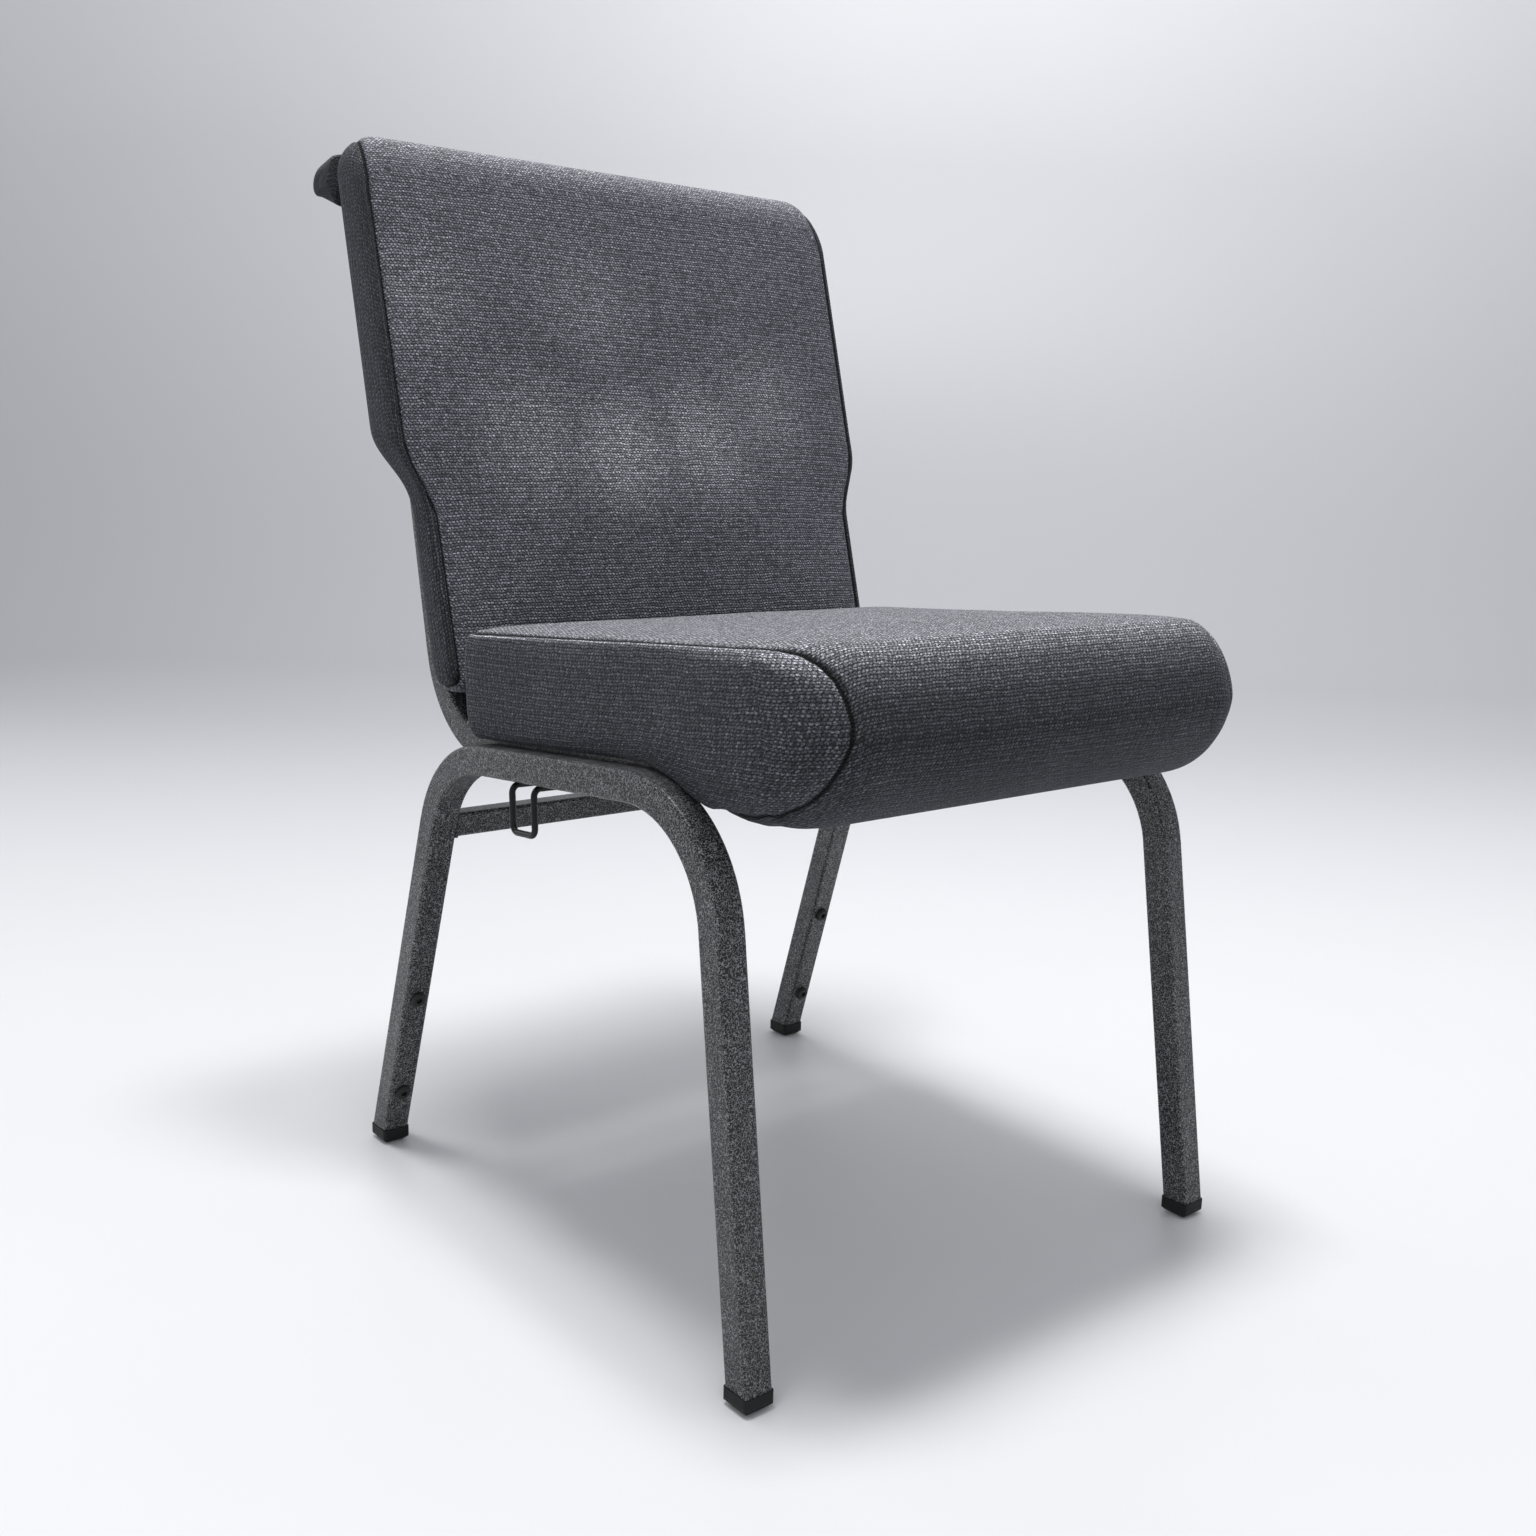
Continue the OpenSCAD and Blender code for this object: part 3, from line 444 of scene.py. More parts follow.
def seat_ease(g, gap, side):
    """The seam's relief, a swelling low at the side panels' front with a hollow behind it, and on the top a
    dip under each thigh, a rise in front between them and faint pulls at the front and sides."""
    x, b, w = g[..., 0], g[..., 1], g[..., 2]
    out = seam_relief(gap, 0.9, 7, 1.5, 1.7, 0.35)
    swell = 5.5 * mound(b - 322, 0.9 * (w - 26), 62) - 1.3 * mound(b - 222, 1.2 * (w - 42), 52)
    out = out + np.where(side, swell * (1 - bump(gap, 12)), 0)
    top = ~side * smooth((w - 52) / 26)
    sat = 1.2 - 2.2 * mound(np.abs(x) - 92, 0.8 * (b - 175), 80) + 1.2 * mound(x, b - 335, 70)
    pulls = (0.32 * np.sin(x / 17 + 1.5 * np.sin(b / 41)) * bump(b - 396, 30)
             + 0.3 * np.sin(b / 23 + 0.7) * bump(np.abs(x) - 205, 26))
    return out + top * (sat + pulls) * (1 - bump(gap, 14))


seat_cover = cushion(
    "seat_cover_cloth", seat, seat_numbers, wall_shares(58), crown_shares(208, 1.4, 7.5),
    np.linspace(1, 0, 15)[:-1], seat_seam, from_seat, seat_ease)
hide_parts("seat_cover")

# Back cover: the main panel runs up the front and over the top into the roll, and under the lower edge.
# The side panels run up both sides and round the uprights
BACK_LENGTH = 440
BACK_LOWER_WIDTH = 435
BACK_UPPER_WIDTH = 473
BACK_NEAR_R = 11.5
BACK_EDGE = 10
BEND_FROM = 54.0
BEND_R = 75.9


def back_step(b):
    """0 on the narrow lower back and 1 on the wide upper back."""
    return smooth((b + BACK_START - 160) / 68)


def back_low(b):
    """The rear face: it follows the uprights' bend at the foot and falls behind them above the step."""
    s = b + BACK_START
    bend = fall(BEND_R, np.clip(BEND_FROM - s, 0, 70))
    return bend - REAR_DEPTH * smooth((s - 177) / 57.8)


back = {
    "length": BACK_LENGTH, "near_r": BACK_NEAR_R, "far_r": 30,
    "half": lambda b: lerp(BACK_LOWER_WIDTH, BACK_UPPER_WIDTH, back_step(b)) / 2,
    "low": back_low, "foot": back_low, "hang": lambda b: 0 * b,
    "turn_in": lambda b: 0.96 * smooth((b + BACK_START - 172) / 10) * smooth((226 - b - BACK_START) / 26),
    "high": lambda b: lerp(36, 24, b / BACK_LENGTH),
    "edge": BACK_EDGE, "edge_low": lambda b: lerp(BACK_EDGE, 24, back_step(b)),
    "side_power": 4, "low_power": 2,
    "nose_up": 44, "nose_low": BACK_NEAR_R, "nose_power": 2, "crown": 12, "stop": 0.027,
    "hem": lambda b: lerp(195.75, 208, smooth((b + BACK_START - 168) / 40)), "hem_w": 10, "hem_end": 418.5,
}
back_numbers = running((38, 12, 92, 18, 38), np.linspace(3.35, 3.65, 13))
back_seam = np.array([
    [1.5, -2.0], [1.5, -1.0], [1.5, 0.9], [1.55, 0.98], [1.75, 0.996], [2.0, 0.998], [2.9, 0.998],
    [3.05, 0.998], [3.18, 0.995], [3.3, 0.985], [3.39, 0.96], [3.5, 0.816], [3.57, 0.566], [3.67, 0.1],
    [3.72, -0.4], [3.74, -1.0], [3.74, -2.0]])


def back_ease(g, gap, side):
    """The seams' relief, and on the front two shallow hollows, across the middle and near the top, a fuller
    band for the small of the back below them and faint pulls along both sides."""
    x, b, w = g[..., 0], g[..., 1], g[..., 2]
    out = seam_relief(gap, 0.9, 6, 1.0, 1.8, 0.3)
    face = ~side * smooth((w - 2) / 22)
    hollow = -2.6 * mound(0.62 * x, b - 262, 58) - 1.3 * mound(0.8 * x + 30, b - 350, 50)
    full = 1.4 + 2.6 * mound(0.45 * x, b - 130, 58)
    pulls = 0.35 * np.sin(b / 14 + 1.2 * np.sin(x / 60)) * bump(np.abs(x) - 214, 26)
    return out + face * (hollow + full + pulls) * (1 - bump(gap, 16))


back_cover = cushion(
    "back_cover_cloth", back, back_numbers, wall_shares(40), crown_shares(213, 1.4, 7.5),
    np.linspace(1, 0, 6)[:-1], back_seam, lambda x, b, w: from_back(x, b + BACK_START, w), back_ease)
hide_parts("back_cover")


# Rolled top
def closed_path(corners, count):
    """A closed polygon cut into even steps along its length."""
    loop = np.concatenate([corners, corners[:1]])
    at = np.concatenate([[0], np.cumsum(np.linalg.norm(np.diff(loop, axis=0), axis=1))])
    s = np.linspace(0, at[-1], count, endpoint=False)
    return np.stack([np.interp(s, at, loop[:, i]) for i in range(loop.shape[1])], -1)


def soften(loop, reach):
    """A closed path whose corners are rounded by a running mean over reach points."""
    return sum(np.roll(loop, i, 0) for i in range(-reach, reach + 1)) / (2 * reach + 1)


def rolled_top():
    """A section with a flat front, a falling underside and a round tip, carried across the back. Towards each
    end it draws down with the back's corner and in to a rounded end."""
    low, high, front = 411.7, 458.3, -27.65
    tip_s, tip_f, tip_r = 445, -53.85, 13.5
    reach, end_r, corner_r = 236.0, 7.0, 29.5
    sink, sink_height, forward = 0.42, 46.8, 0.3
    map_start = 600
    a = np.radians(np.linspace(0, -170, 24))
    tip = np.stack([tip_s + tip_r * np.cos(a), tip_f + tip_r * np.sin(a)], -1)
    section = soften(closed_path(np.concatenate([[[low, front], [high, front]], tip]), 96), 2)
    turn = np.linspace(0, np.pi / 2, 9)
    ends = reach - end_r + end_r * np.sin(turn)
    x = np.concatenate([-ends[::-1], np.linspace(-reach + end_r, reach - end_r, 90)[1:-1], ends])
    draw = fall(end_r, np.clip(np.abs(x) - reach + end_r, 0, end_r))
    drop = fall(corner_r, np.clip(np.abs(x) - (reach - corner_r), 0, corner_r))[:, None]
    mid = section.mean(0)
    away = section - mid
    size = np.linalg.norm(away, axis=1).max()
    s_f = mid + away * (1 - 0.8 * draw[:, None, None] / size)
    s = low + (s_f[..., 0] - low) * (1 - sink * drop / sink_height)
    f = s_f[..., 1] + forward * drop
    plump = 0.5 * np.sin(x / 31)[:, None] * bump(f + 55, 16)
    grid = from_back(x[:, None], s, f - plump)
    run = np.concatenate([[0], np.cumsum(np.linalg.norm(np.diff(section, axis=0), axis=1))])
    flat = np.stack(np.broadcast_arrays(x[:, None], map_start + run[None]), -1)
    return closed_piece("back_top_roll_cloth", grid, [grid[0].mean(0), grid[-1].mean(0)],
                        flat, [[-reach, map_start + 20], [reach, map_start + 20]])


back_roll = rolled_top()
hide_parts("back_top_roll")


# Rear panel
def rear_panel():
    """A board in cloth: concentric rings of its rounded outline, first the flat face against the uprights,
    then a rolled edge, then a rear face that crowns by up to 1.6 mm."""
    low, high, lower_half, upper_half, corner = 21.5, 436.7, 195.4, 207.7, 24
    middle, edge_r, map_start = 229.0, 2.5, 900
    half = [[0, low], [lower_half, low], [lower_half, 160], [upper_half, 228], [upper_half, high - corner],
            [upper_half - corner, high], [0, high]]
    mirror = [[-px, py] for px, py in half[-2:0:-1]]
    loop = soften(closed_path(np.array(half + mirror, float), 420), 3)
    mid = np.array([0, middle])
    span = loop - mid
    size = np.linalg.norm(span, axis=1)[:, None]
    over_edge = np.linspace(0, np.pi, 13)
    face_in = [90, 30, 6]
    rear_in = np.array([6, 12, 25, 50, 90, 140])
    inset = np.concatenate([face_in, 2.3 * (1 - np.sin(over_edge)), rear_in])
    depth = np.concatenate([[0] * 3, edge_r * (1 - np.cos(over_edge)), [2 * edge_r] * 6])
    rise = np.concatenate([np.zeros(16), 1.6 * (1 - np.exp(-rear_in / 40))])
    rings = mid + span * (1 - np.minimum(inset[:, None, None] / size, 0.86))
    f = REAR_FACE - depth - rise
    grid = from_back(rings[..., 0], rings[..., 1], f[:, None])
    tips = [from_back(0, middle, at) for at in (REAR_FACE, f[-1])]
    return closed_piece("back_rear_panel_cloth", grid, tips,
                        rings + [0, map_start], [[0, middle + map_start]] * 2)


rear_cloth = rear_panel()
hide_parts("back_rear_panel")


# Dust cloth
def dust_cloth():
    """A thin sheet inside the hem, as rings that shrink to its middle. It sags by up to 2 mm between the
    uprights, the rear hem and the front crossbar. Returns the sheet, its size lying flat and its area."""
    inside_hem = 12
    x, y = whole_outline(*outline_at(seat, seat_numbers))
    hx, hy, _ = hem_ring(seat, x, y, 1.0)
    px = hx * (1 - inside_hem / hx.max())
    py = lerp(hy.min() + inside_hem, hy.max() - inside_hem, (hy - hy.min()) / (hy.max() - hy.min()))
    share = np.linspace(1, 0.02, 40)[:, None]
    mid = (py.min() + py.max()) / 2
    gx, gy = px * share, mid + (py - mid) * share
    arch = smooth((165 - np.abs(gx)) / 60) * smooth((gy - py.min() - 4) / 60) * smooth((250 - gy) / 50)
    ripple = 0.12 * np.sin(gx / 9 + gy / 31) * smooth((170 - np.abs(gx)) / 30) * smooth((255 - gy) / 30)
    w = 0.95 - 2.0 * arch + ripple
    points, quads, fan = domed(from_seat(gx, gy, w))
    sheet = make_piece("seat_dust_sheet", points, quads, [fan])
    sheet.modifiers.new("wall", "SOLIDIFY").thickness = 0.4 * MM
    area = 0.5 * np.abs(np.sum(px * np.roll(py, -1) - np.roll(px, -1) * py))
    flat = (2 * px.max() * MM, (py.max() - py.min()) * MM)
    return sheet, flat, area * MM * MM


dust_sheet, dust_flat, dust_area = dust_cloth()
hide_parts("seat_dust_cloth")


# Weld beads
def bead(middle, along, upward, side, radius=1.5, step=3.4):
    """A rippled bead round the end of a square bar: a circle carried round the bar's rounded square in the
    plane of two directions, its radius swelling and falling every step."""
    a = np.linspace(0, 2 * np.pi, 200, endpoint=False)
    square = (np.abs(np.cos(a)) ** 7 + np.abs(np.sin(a)) ** 7) ** (-1 / 7) * side / 2
    run = np.stack([np.cos(a), np.sin(a)], -1) * square[:, None]
    length = np.cumsum(np.linalg.norm(run - np.roll(run, 1, 0), axis=1))
    r = radius * (1 + 0.16 * np.sin(length * 2 * np.pi / step) + 0.1 * np.sin(length / 7))[:, None, None]
    t = np.linspace(0, 2 * np.pi, 12, endpoint=False)[None, :, None]
    along, upward = np.array(along, float), np.array(upward, float)
    flat = np.cos(a)[:, None] * along + np.sin(a)[:, None] * upward
    path = run[:, :1] * along + run[:, 1:] * upward
    normal = np.cross(along, upward)
    p = np.array(middle, float) + path[:, None] + flat[:, None] * r * np.cos(t) + normal * r * np.sin(t)
    return to_frame(p[..., 0], p[..., 1], p[..., 2])


def middle_of(node):
    low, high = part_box(node)
    return (low.y + high.y) / 2 / MM + CENTRE_Y, (low.z + high.z) / 2 / MM


def weld_beads():
    """The beads where the crossbars meet the sides and where the uprights run into the front crossbar."""
    lean, grids = LOOP_LEAN, []
    for node, tubes, angle in (("rear_leg_crossbar", 1, 0), ("lower_back_crossbar", 2, -BACK_LEAN),
                               ("upper_back_crossbar", 2, -BACK_LEAN)):
        y, z = middle_of(node)
        for side in (-1, 1):
            x = side * (FOOT_REACH - tubes * TUBE / np.cos(lean) - z * np.tan(lean) - 0.5)
            tip = (side * np.sin(lean) * -np.cos(angle), -np.sin(angle), np.cos(angle))
            grids.append(bead((x, y, z), (0, np.cos(angle), np.sin(angle)), tip, BAR))
    y, z = middle_of("front_seat_crossbar")
    behind = TUBE / 2 + 0.4
    for side in (-1, 1):
        x = side * (FOOT_REACH - 1.5 * TUBE - z * np.tan(lean))
        at = (x, y + behind * np.cos(SEAT_SLOPE), z - behind * np.sin(SEAT_SLOPE))
        grids.append(bead(at, (1, 0, 0), (0, np.sin(SEAT_SLOPE), np.cos(SEAT_SLOPE)), TUBE - 1.2))
    rows, columns = grids[0].shape[:2]
    one = grid_faces(rows, columns, wrap_rows=True)
    quads = np.concatenate([one + i * rows * columns for i in range(len(grids))])
    points = np.concatenate([g.reshape(-1, 3) for g in grids])
    return make_piece("weld_beads", points, quads)


welds = weld_beads()
for piece, finish in ((seat_cover, "charcoal_fabric"), (back_cover, "charcoal_fabric"),
                      (back_roll, "charcoal_fabric"), (rear_cloth, "charcoal_fabric"),
                      (dust_sheet, "dust_cloth"), (welds, "frame_coat")):
    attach(piece, "root")


# The picture's viewpoint: the camera's turn, tilt and roll, its place and its heading along the floor
YAW, PITCH, ROLL = 0.690402752, -0.19261432, 0.0274729157
EYE = to_frame(-799.503, -687.606, 586.204)
level_ahead = Vector((np.sin(YAW), np.cos(YAW), 0))


# Materials
FULL_TURN = 6.28319
TWILL_PITCH = 0.0024


class Graph:
    """Adds shader nodes to a tree and joins them."""

    def __init__(self, tree):
        self.tree = tree
        tree.nodes.clear()

    def fill(self, node, values):
        """Joins a node's inputs to other nodes or sets them to fixed values."""
        for key, value in values.items():
            if isinstance(value, bpy.types.NodeSocket):
                self.tree.links.new(value, node.inputs[key])
            else:
                node.inputs[key].default_value = value
        return node

    def add(self, kind, values=None, **settings):
        node = self.tree.nodes.new("ShaderNode" + kind)
        for key, value in settings.items():
            setattr(node, key, value)
        return self.fill(node, values or {})

    def group(self, tree, values):
        return self.add("Group", values, node_tree=tree).outputs

    def math(self, operation, a, b=0.0, clamp=False):
        return self.add("Math", {0: a, 1: b}, operation=operation, use_clamp=clamp).outputs[0]

    def times(self, a, b, clamp=False):
        return self.math("MULTIPLY", a, b, clamp)

    def line(self, value, slope, start):
        """start and slope times the value."""
        return self.add("Math", {0: value, 1: slope, 2: start}, operation="MULTIPLY_ADD").outputs[0]

    def vector(self, operation, a, b, key=1, out=0):
        return self.add("VectorMath", {0: a, key: b}, operation=operation).outputs[out]

    def mix(self, share, a, b, blend="MIX"):
        return self.add("Mix", {0: share, 6: a, 7: b}, data_type="RGBA", blend_type=blend).outputs[2]

    def dim(self, colour, value):
        """A colour times one value."""
        even = self.add("CombineXYZ", {0: value, 1: value, 2: value}).outputs[0]
        return self.mix(1.0, colour, even, "MULTIPLY")

    def fit(self, value, low, high, to_low=0.0, to_high=1.0):
        """An eased step from to_low, up to low, to to_high, from high on."""
        return self.add("MapRange", {0: value, 1: low, 2: high, 3: to_low, 4: to_high},
                        interpolation_type="SMOOTHSTEP").outputs[0]

    def fade(self, value, low, high):
        return self.fit(value, low, high, 1.0, 0.0)

    def noise(self, vector, scale, detail=3.0, rough=0.55, distortion=0.0):
        return self.add("TexNoise", {"Vector": vector, "Scale": scale, "Detail": detail, "Roughness": rough,
                                     "Distortion": distortion}).outputs[0]

    def z_of(self, vector):
        return self.add("SeparateXYZ", {0: vector}).outputs[2]

    def stretch(self, place, scale):
        return self.add("Mapping", {"Vector": place, "Scale": scale}).outputs[0]


def effect(name, numbers, results):
    """A node group on a vector and numbers, given with their usual values. Returns its graph, its inputs and
    the node that takes its results."""
    tree = bpy.data.node_groups.new(name, "ShaderNodeTree")
    tree.interface.new_socket(name="Vector", in_out="INPUT", socket_type="NodeSocketVector")
    for label, usual in numbers.items():
        socket = tree.interface.new_socket(name=label, in_out="INPUT", socket_type="NodeSocketFloat")
        socket.default_value = usual
    for label in results:
        tree.interface.new_socket(name=label, in_out="OUTPUT", socket_type="NodeSocketFloat")
    g = Graph(tree)
    return g, tree.nodes.new("NodeGroupInput").outputs, tree.nodes.new("NodeGroupOutput")


def woven_cloth():
    """Yarn floats in a stepped twill: rows of short oval yarns, each shifted against the last, over ribs both
    ways and a slanting twill. Yarn is each float's own brightness, and Lit is 0 in gaps and 1 on floats."""
    g, got, result = effect("Woven cloth", {
        "Float Length": 0.003, "Row Pitch": 0.00225, "Shift": 0.36, "Rib Pitch": 0.0049, "Ribs Across": 0.1,
        "Ribs Along": 0.3, "Twill": 0.3}, ("Height", "Yarn", "Lit"))
    wander = g.add("TexNoise", {"Vector": got["Vector"], "Scale": 90.0, "Detail": 2.0}).outputs[1]
    sway = g.vector("SCALE", g.vector("SUBTRACT", wander, (0.5, 0.5, 0.5)), 0.0032, key="Scale")
    axis = g.add("SeparateXYZ", {0: g.vector("ADD", got["Vector"], sway)}).outputs
    v = g.math("DIVIDE", axis[1], got["Row Pitch"])
    row = g.math("FLOOR", v)
    u = g.math("DIVIDE", axis[0], got["Float Length"])
    u = g.math("ADD", u, g.times(row, got["Shift"]))
    column = g.math("FLOOR", u)
    off_u, off_v = (g.math("ABSOLUTE", g.line(g.math("FRACT", at), 2.0, -1.0)) for at in (u, v))
    past = g.math("ADD", g.math("POWER", off_u, 3.0), g.math("POWER", off_v, 2.0))
    oval = g.math("SUBTRACT", 1.0, past, clamp=True)
    cell = g.add("CombineXYZ", {0: column, 1: row})
    own = g.add("TexWhiteNoise", {"Vector": cell.outputs[0]}, noise_dimensions="2D").outputs[0]

    def dips(angle, depth):
        return g.times(g.line(g.math("SINE", angle), -0.5, 0.5), depth)

    ribs = [g.times(g.math("DIVIDE", axis[i], got["Rib Pitch"]), FULL_TURN) for i in (0, 1)]
    hollow = g.math("ADD", dips(ribs[0], got["Ribs Across"]), dips(ribs[1], got["Ribs Along"]))
    slant = g.times(g.math("ADD", g.times(axis[0], 0.72), axis[1]), FULL_TURN / TWILL_PITCH)
    rib = g.math("SUBTRACT", 1.0, g.math("ADD", hollow, dips(slant, got["Twill"])), clamp=True)
    fibre = g.noise(got["Vector"], 950.0, 2.0, 0.75)
    lit = g.times(g.line(oval, 0.85, 0.15), rib)
    lit = g.times(lit, g.fit(fibre, 0.34, 0.7, 0.12, 1.35), clamp=True)
    crown = g.times(g.math("SQRT", oval), g.line(own, 0.3, 0.6))
    height = g.math("ADD", crown, g.math("ADD", g.times(rib, 0.8), g.times(fibre, 0.3)))
    g.fill(result, {"Height": height, "Yarn": own, "Lit": lit})
    return g.tree


def tone_patches():
    """Broad and fine cloudiness between 0 and 1, for uneven dye, rubbing and dust."""
    g, got, result = effect("Tone patches", {"Broad Scale": 6.0, "Fine Scale": 45.0}, ("Mask",))
    broad = g.noise(got["Vector"], got["Broad Scale"], 2.0, 0.5)
    fine = g.noise(got["Vector"], got["Fine Scale"], 4.0, 0.6)
    g.fill(result, {"Mask": g.fit(g.line(broad, 0.65, g.times(fine, 0.35)), 0.36, 0.64)})
    return g.tree


def veined_coat():
    """A two-tone powder coat: pale worms on a dark ground, where a noise bent by another is close to its
    middle level, mottled by a fine fleck."""
    g, got, result = effect("Veined coat", {"Worm Scale": 560.0}, ("Vein", "Fleck", "Height"))
    warp = g.add("TexNoise", {"Vector": got["Vector"], "Scale": 330.0, "Detail": 1.0}).outputs[1]
    bent = g.vector("ADD", got["Vector"], g.vector("SCALE", warp, 0.002, key="Scale"))
    base = g.noise(bent, got["Worm Scale"], 1.0, 0.4)
    worm = g.fade(g.math("ABSOLUTE", g.math("SUBTRACT", base, 0.5)), 0.02, 0.05)
    grain = g.noise(got["Vector"], 1500.0, 2.0, 0.6)
    fleck = g.fit(grain, 0.5, 0.64)
    vein = g.times(worm, g.line(fleck, 0.35, 0.65))
    height = g.math("SUBTRACT", g.times(grain, 0.35), g.times(worm, 0.5))
    g.fill(result, {"Vein": vein, "Fleck": fleck, "Height": height})
    return g.tree


WOVEN, PATCHES, COAT = woven_cloth(), tone_patches(), veined_coat()


def patches(g, place, broad, fine):
    return g.group(PATCHES, {"Vector": place, "Broad Scale": broad, "Fine Scale": fine})[0]


def material(name, paint):
    """A material drawn by paint from a graph and the place in the object. paint gives the colour, the
    roughness, a relief as height, strength and metres, or none, and the shader's other values."""
    made = bpy.data.materials.new(name)
    made.use_nodes = True
    g = Graph(made.node_tree)
    tone, rough, relief, more = paint(g, g.add("TexCoord").outputs["Object"])
    values = {"Base Color": tone, "Roughness": rough, **more}
    if relief:
        values["Normal"] = g.add("Bump", dict(zip(("Height", "Strength", "Distance"), relief))).outputs[0]
    g.add("OutputMaterial", {0: g.add("BsdfPrincipled", values).outputs[0]})
    return made


def grey(level, blue=1.1):
    return (level, level * 1.01, level * blue, 1.0)


def spot(g, place, centre, radius):
    """A soft round mask about a point in the frame, from its distance in metres."""
    return g.fade(g.vector("DISTANCE", place, centre, out=1), 0.0, radius)


def chair_cloth(dark, light, lit_and_faded_tone, across=0.15, side_light_and_shade=1.0, highlight_spots=(), panels=True):
    """Charcoal cloth: dark gaps, lit yarns, faint uneven dye, and painted light: a lighter tone where the
    cloth faces up and at given highlight spots. Along the seams a painted shade line, with puckered threads
    beside it, and on the side panels a tone factor that is painted light above 1 and painted shade below 1.
    Across the seam the side panels' own map takes over."""
    def paint(g, place):
        cloth = g.add("UVMap", uv_map="cloth").outputs[0]
        signed = g.add("Attribute", attribute_name="seam").outputs[2]
        seam = g.math("ABSOLUTE", signed)
        if panels:
            on_side = g.math("GREATER_THAN", signed, 0.0)
            other = g.add("UVMap", uv_map="side").outputs[0]
            cloth = g.add("Mix", {0: on_side, 4: cloth, 5: other}, data_type="VECTOR").outputs[1]
        weave = g.group(WOVEN, {"Vector": cloth, "Ribs Across": across})
        # Painted light: lighter where the cloth faces up towards the lamps and at the highlight spots; the
        # faint patches are uneven dye.
        painted_top_light = g.fit(g.z_of(g.add("NewGeometry").outputs["Normal"]), 0.35, 1.0)
        lit_and_faded_share = g.math("MAXIMUM", painted_top_light, g.times(patches(g, place, 7.0, 60.0), 0.05))
        for centre, radius, amount in highlight_spots:
            lit_and_faded_share = g.math("MAXIMUM", lit_and_faded_share, g.times(spot(g, place, centre, radius), amount))
        thread = g.mix(lit_and_faded_share, grey(light, 1.17), grey(lit_and_faded_tone, 1.09))
        thread = g.dim(thread, g.line(weave["Yarn"], 0.9, 0.55))
        tone = g.mix(weave["Lit"], g.mix(lit_and_faded_share, grey(dark, 1.2), grey(dark * 2.2, 1.15)), thread)
        if panels:
            # Painted light and shade: the side panels' tone times a factor, lighter on the seat and darker on
            # the back.
            tone = g.dim(tone, g.line(on_side, side_light_and_shade - 1.0, 1.0))
        # Painted shade: a near-black line in the seam's crease.
        tone = g.mix(g.fade(seam, 0.7, 2.2), tone, grey(0.0012, 1.15))
        run = g.add("SeparateXYZ", {0: cloth}).outputs
        tug = g.math("SINE", g.times(g.math("ADD", run[0], run[1]), 820.0))
        pucker = g.times(tug, g.fade(seam, 1.5, 7.0))
        height = g.math("ADD", weave["Height"], g.times(pucker, 0.12))
        return tone, g.line(weave["Yarn"], 0.1, 0.78), (height, 1.0, 0.0008), {
            "Sheen Weight": 0.14, "Sheen Roughness": 0.3, "Sheen Tint": (0.78, 0.83, 0.95, 1.0),
            "Specular IOR Level": 0.22}
    return paint


def frame_paint(g, place):
    """Charcoal veined coat with slight rub marks near the feet."""
    coat = g.group(COAT, {"Vector": place})
    tone = g.mix(coat["Vein"], grey(0.004, 1.15), grey(0.34, 1.08))
    low = g.fade(g.z_of(place), 0.02, 0.22)
    scuff = g.times(low, g.fit(g.noise(place, 240.0, 5.0, 0.7), 0.62, 0.75))
    tone = g.mix(g.times(scuff, 0.35), tone, grey(0.34, 1.0))
    rough = g.line(patches(g, place, 9.0, 130.0), 0.12, g.line(coat["Vein"], 0.12, 0.3))
    return tone, rough, (coat["Height"], 0.55, 0.0004), {"Metallic": 0.25, "Specular IOR Level": 0.6}


def weld_paint(g, place):
    """The frame's coat pooled over the beads, a little darker and smoother."""
    coat = g.group(COAT, {"Vector": place, "Worm Scale": 600.0})
    tone = g.mix(g.times(coat["Vein"], 0.7), grey(0.007, 1.15), grey(0.22, 1.05))
    return tone, g.line(coat["Fleck"], 0.12, 0.32), (coat["Height"], 0.4, 0.0003), {"Metallic": 0.25}


def wire_paint(g, place):
    """Satin black wire with fine drawing lines and a few bright rubbed spots."""
    lines = g.noise(g.stretch(place, (1.0, 0.12, 1.0)), 1400.0, 3.0, 0.6)
    rub = g.fit(g.noise(place, 170.0, 4.0, 0.65), 0.64, 0.74)
    tone = g.mix(g.times(rub, 0.5), grey(0.012, 1.1), grey(0.16, 1.02))
    return tone, g.line(lines, 0.25, 0.22), (lines, 0.2, 0.0002), {
        "Metallic": 0.3, "Specular IOR Level": 0.3}


def plastic_paint(g, place):
    """Moulded black plastic: a fine spark texture, dusty and scratched towards the floor."""
    spark = g.noise(place, 1900.0, 2.0, 0.5)
    low = g.fade(g.z_of(place), 0.0, 0.008)
    scratch = g.noise(g.stretch(place, (1.0, 1.0, 6.0)), 320.0, 5.0, 0.7)
    worn = g.times(low, g.fit(scratch, 0.48, 0.66))
    tone = g.mix(g.times(worn, 0.4), grey(0.006, 1.08), grey(0.09, 0.98))
    return tone, g.line(worn, 0.2, 0.58), (spark, 0.3, 0.0002), {"Specular IOR Level": 0.3}


def rubber_paint(g, place):
    """Matt black rubber with a faint bloom."""
    bloom = patches(g, place, 60.0, 420.0)
    tone = g.mix(g.times(bloom, 0.4), grey(0.009, 1.05), grey(0.04, 1.0))
    return tone, g.line(bloom, 0.15, 0.62), (g.noise(place, 2200.0, 2.0), 0.2, 0.0002), {}


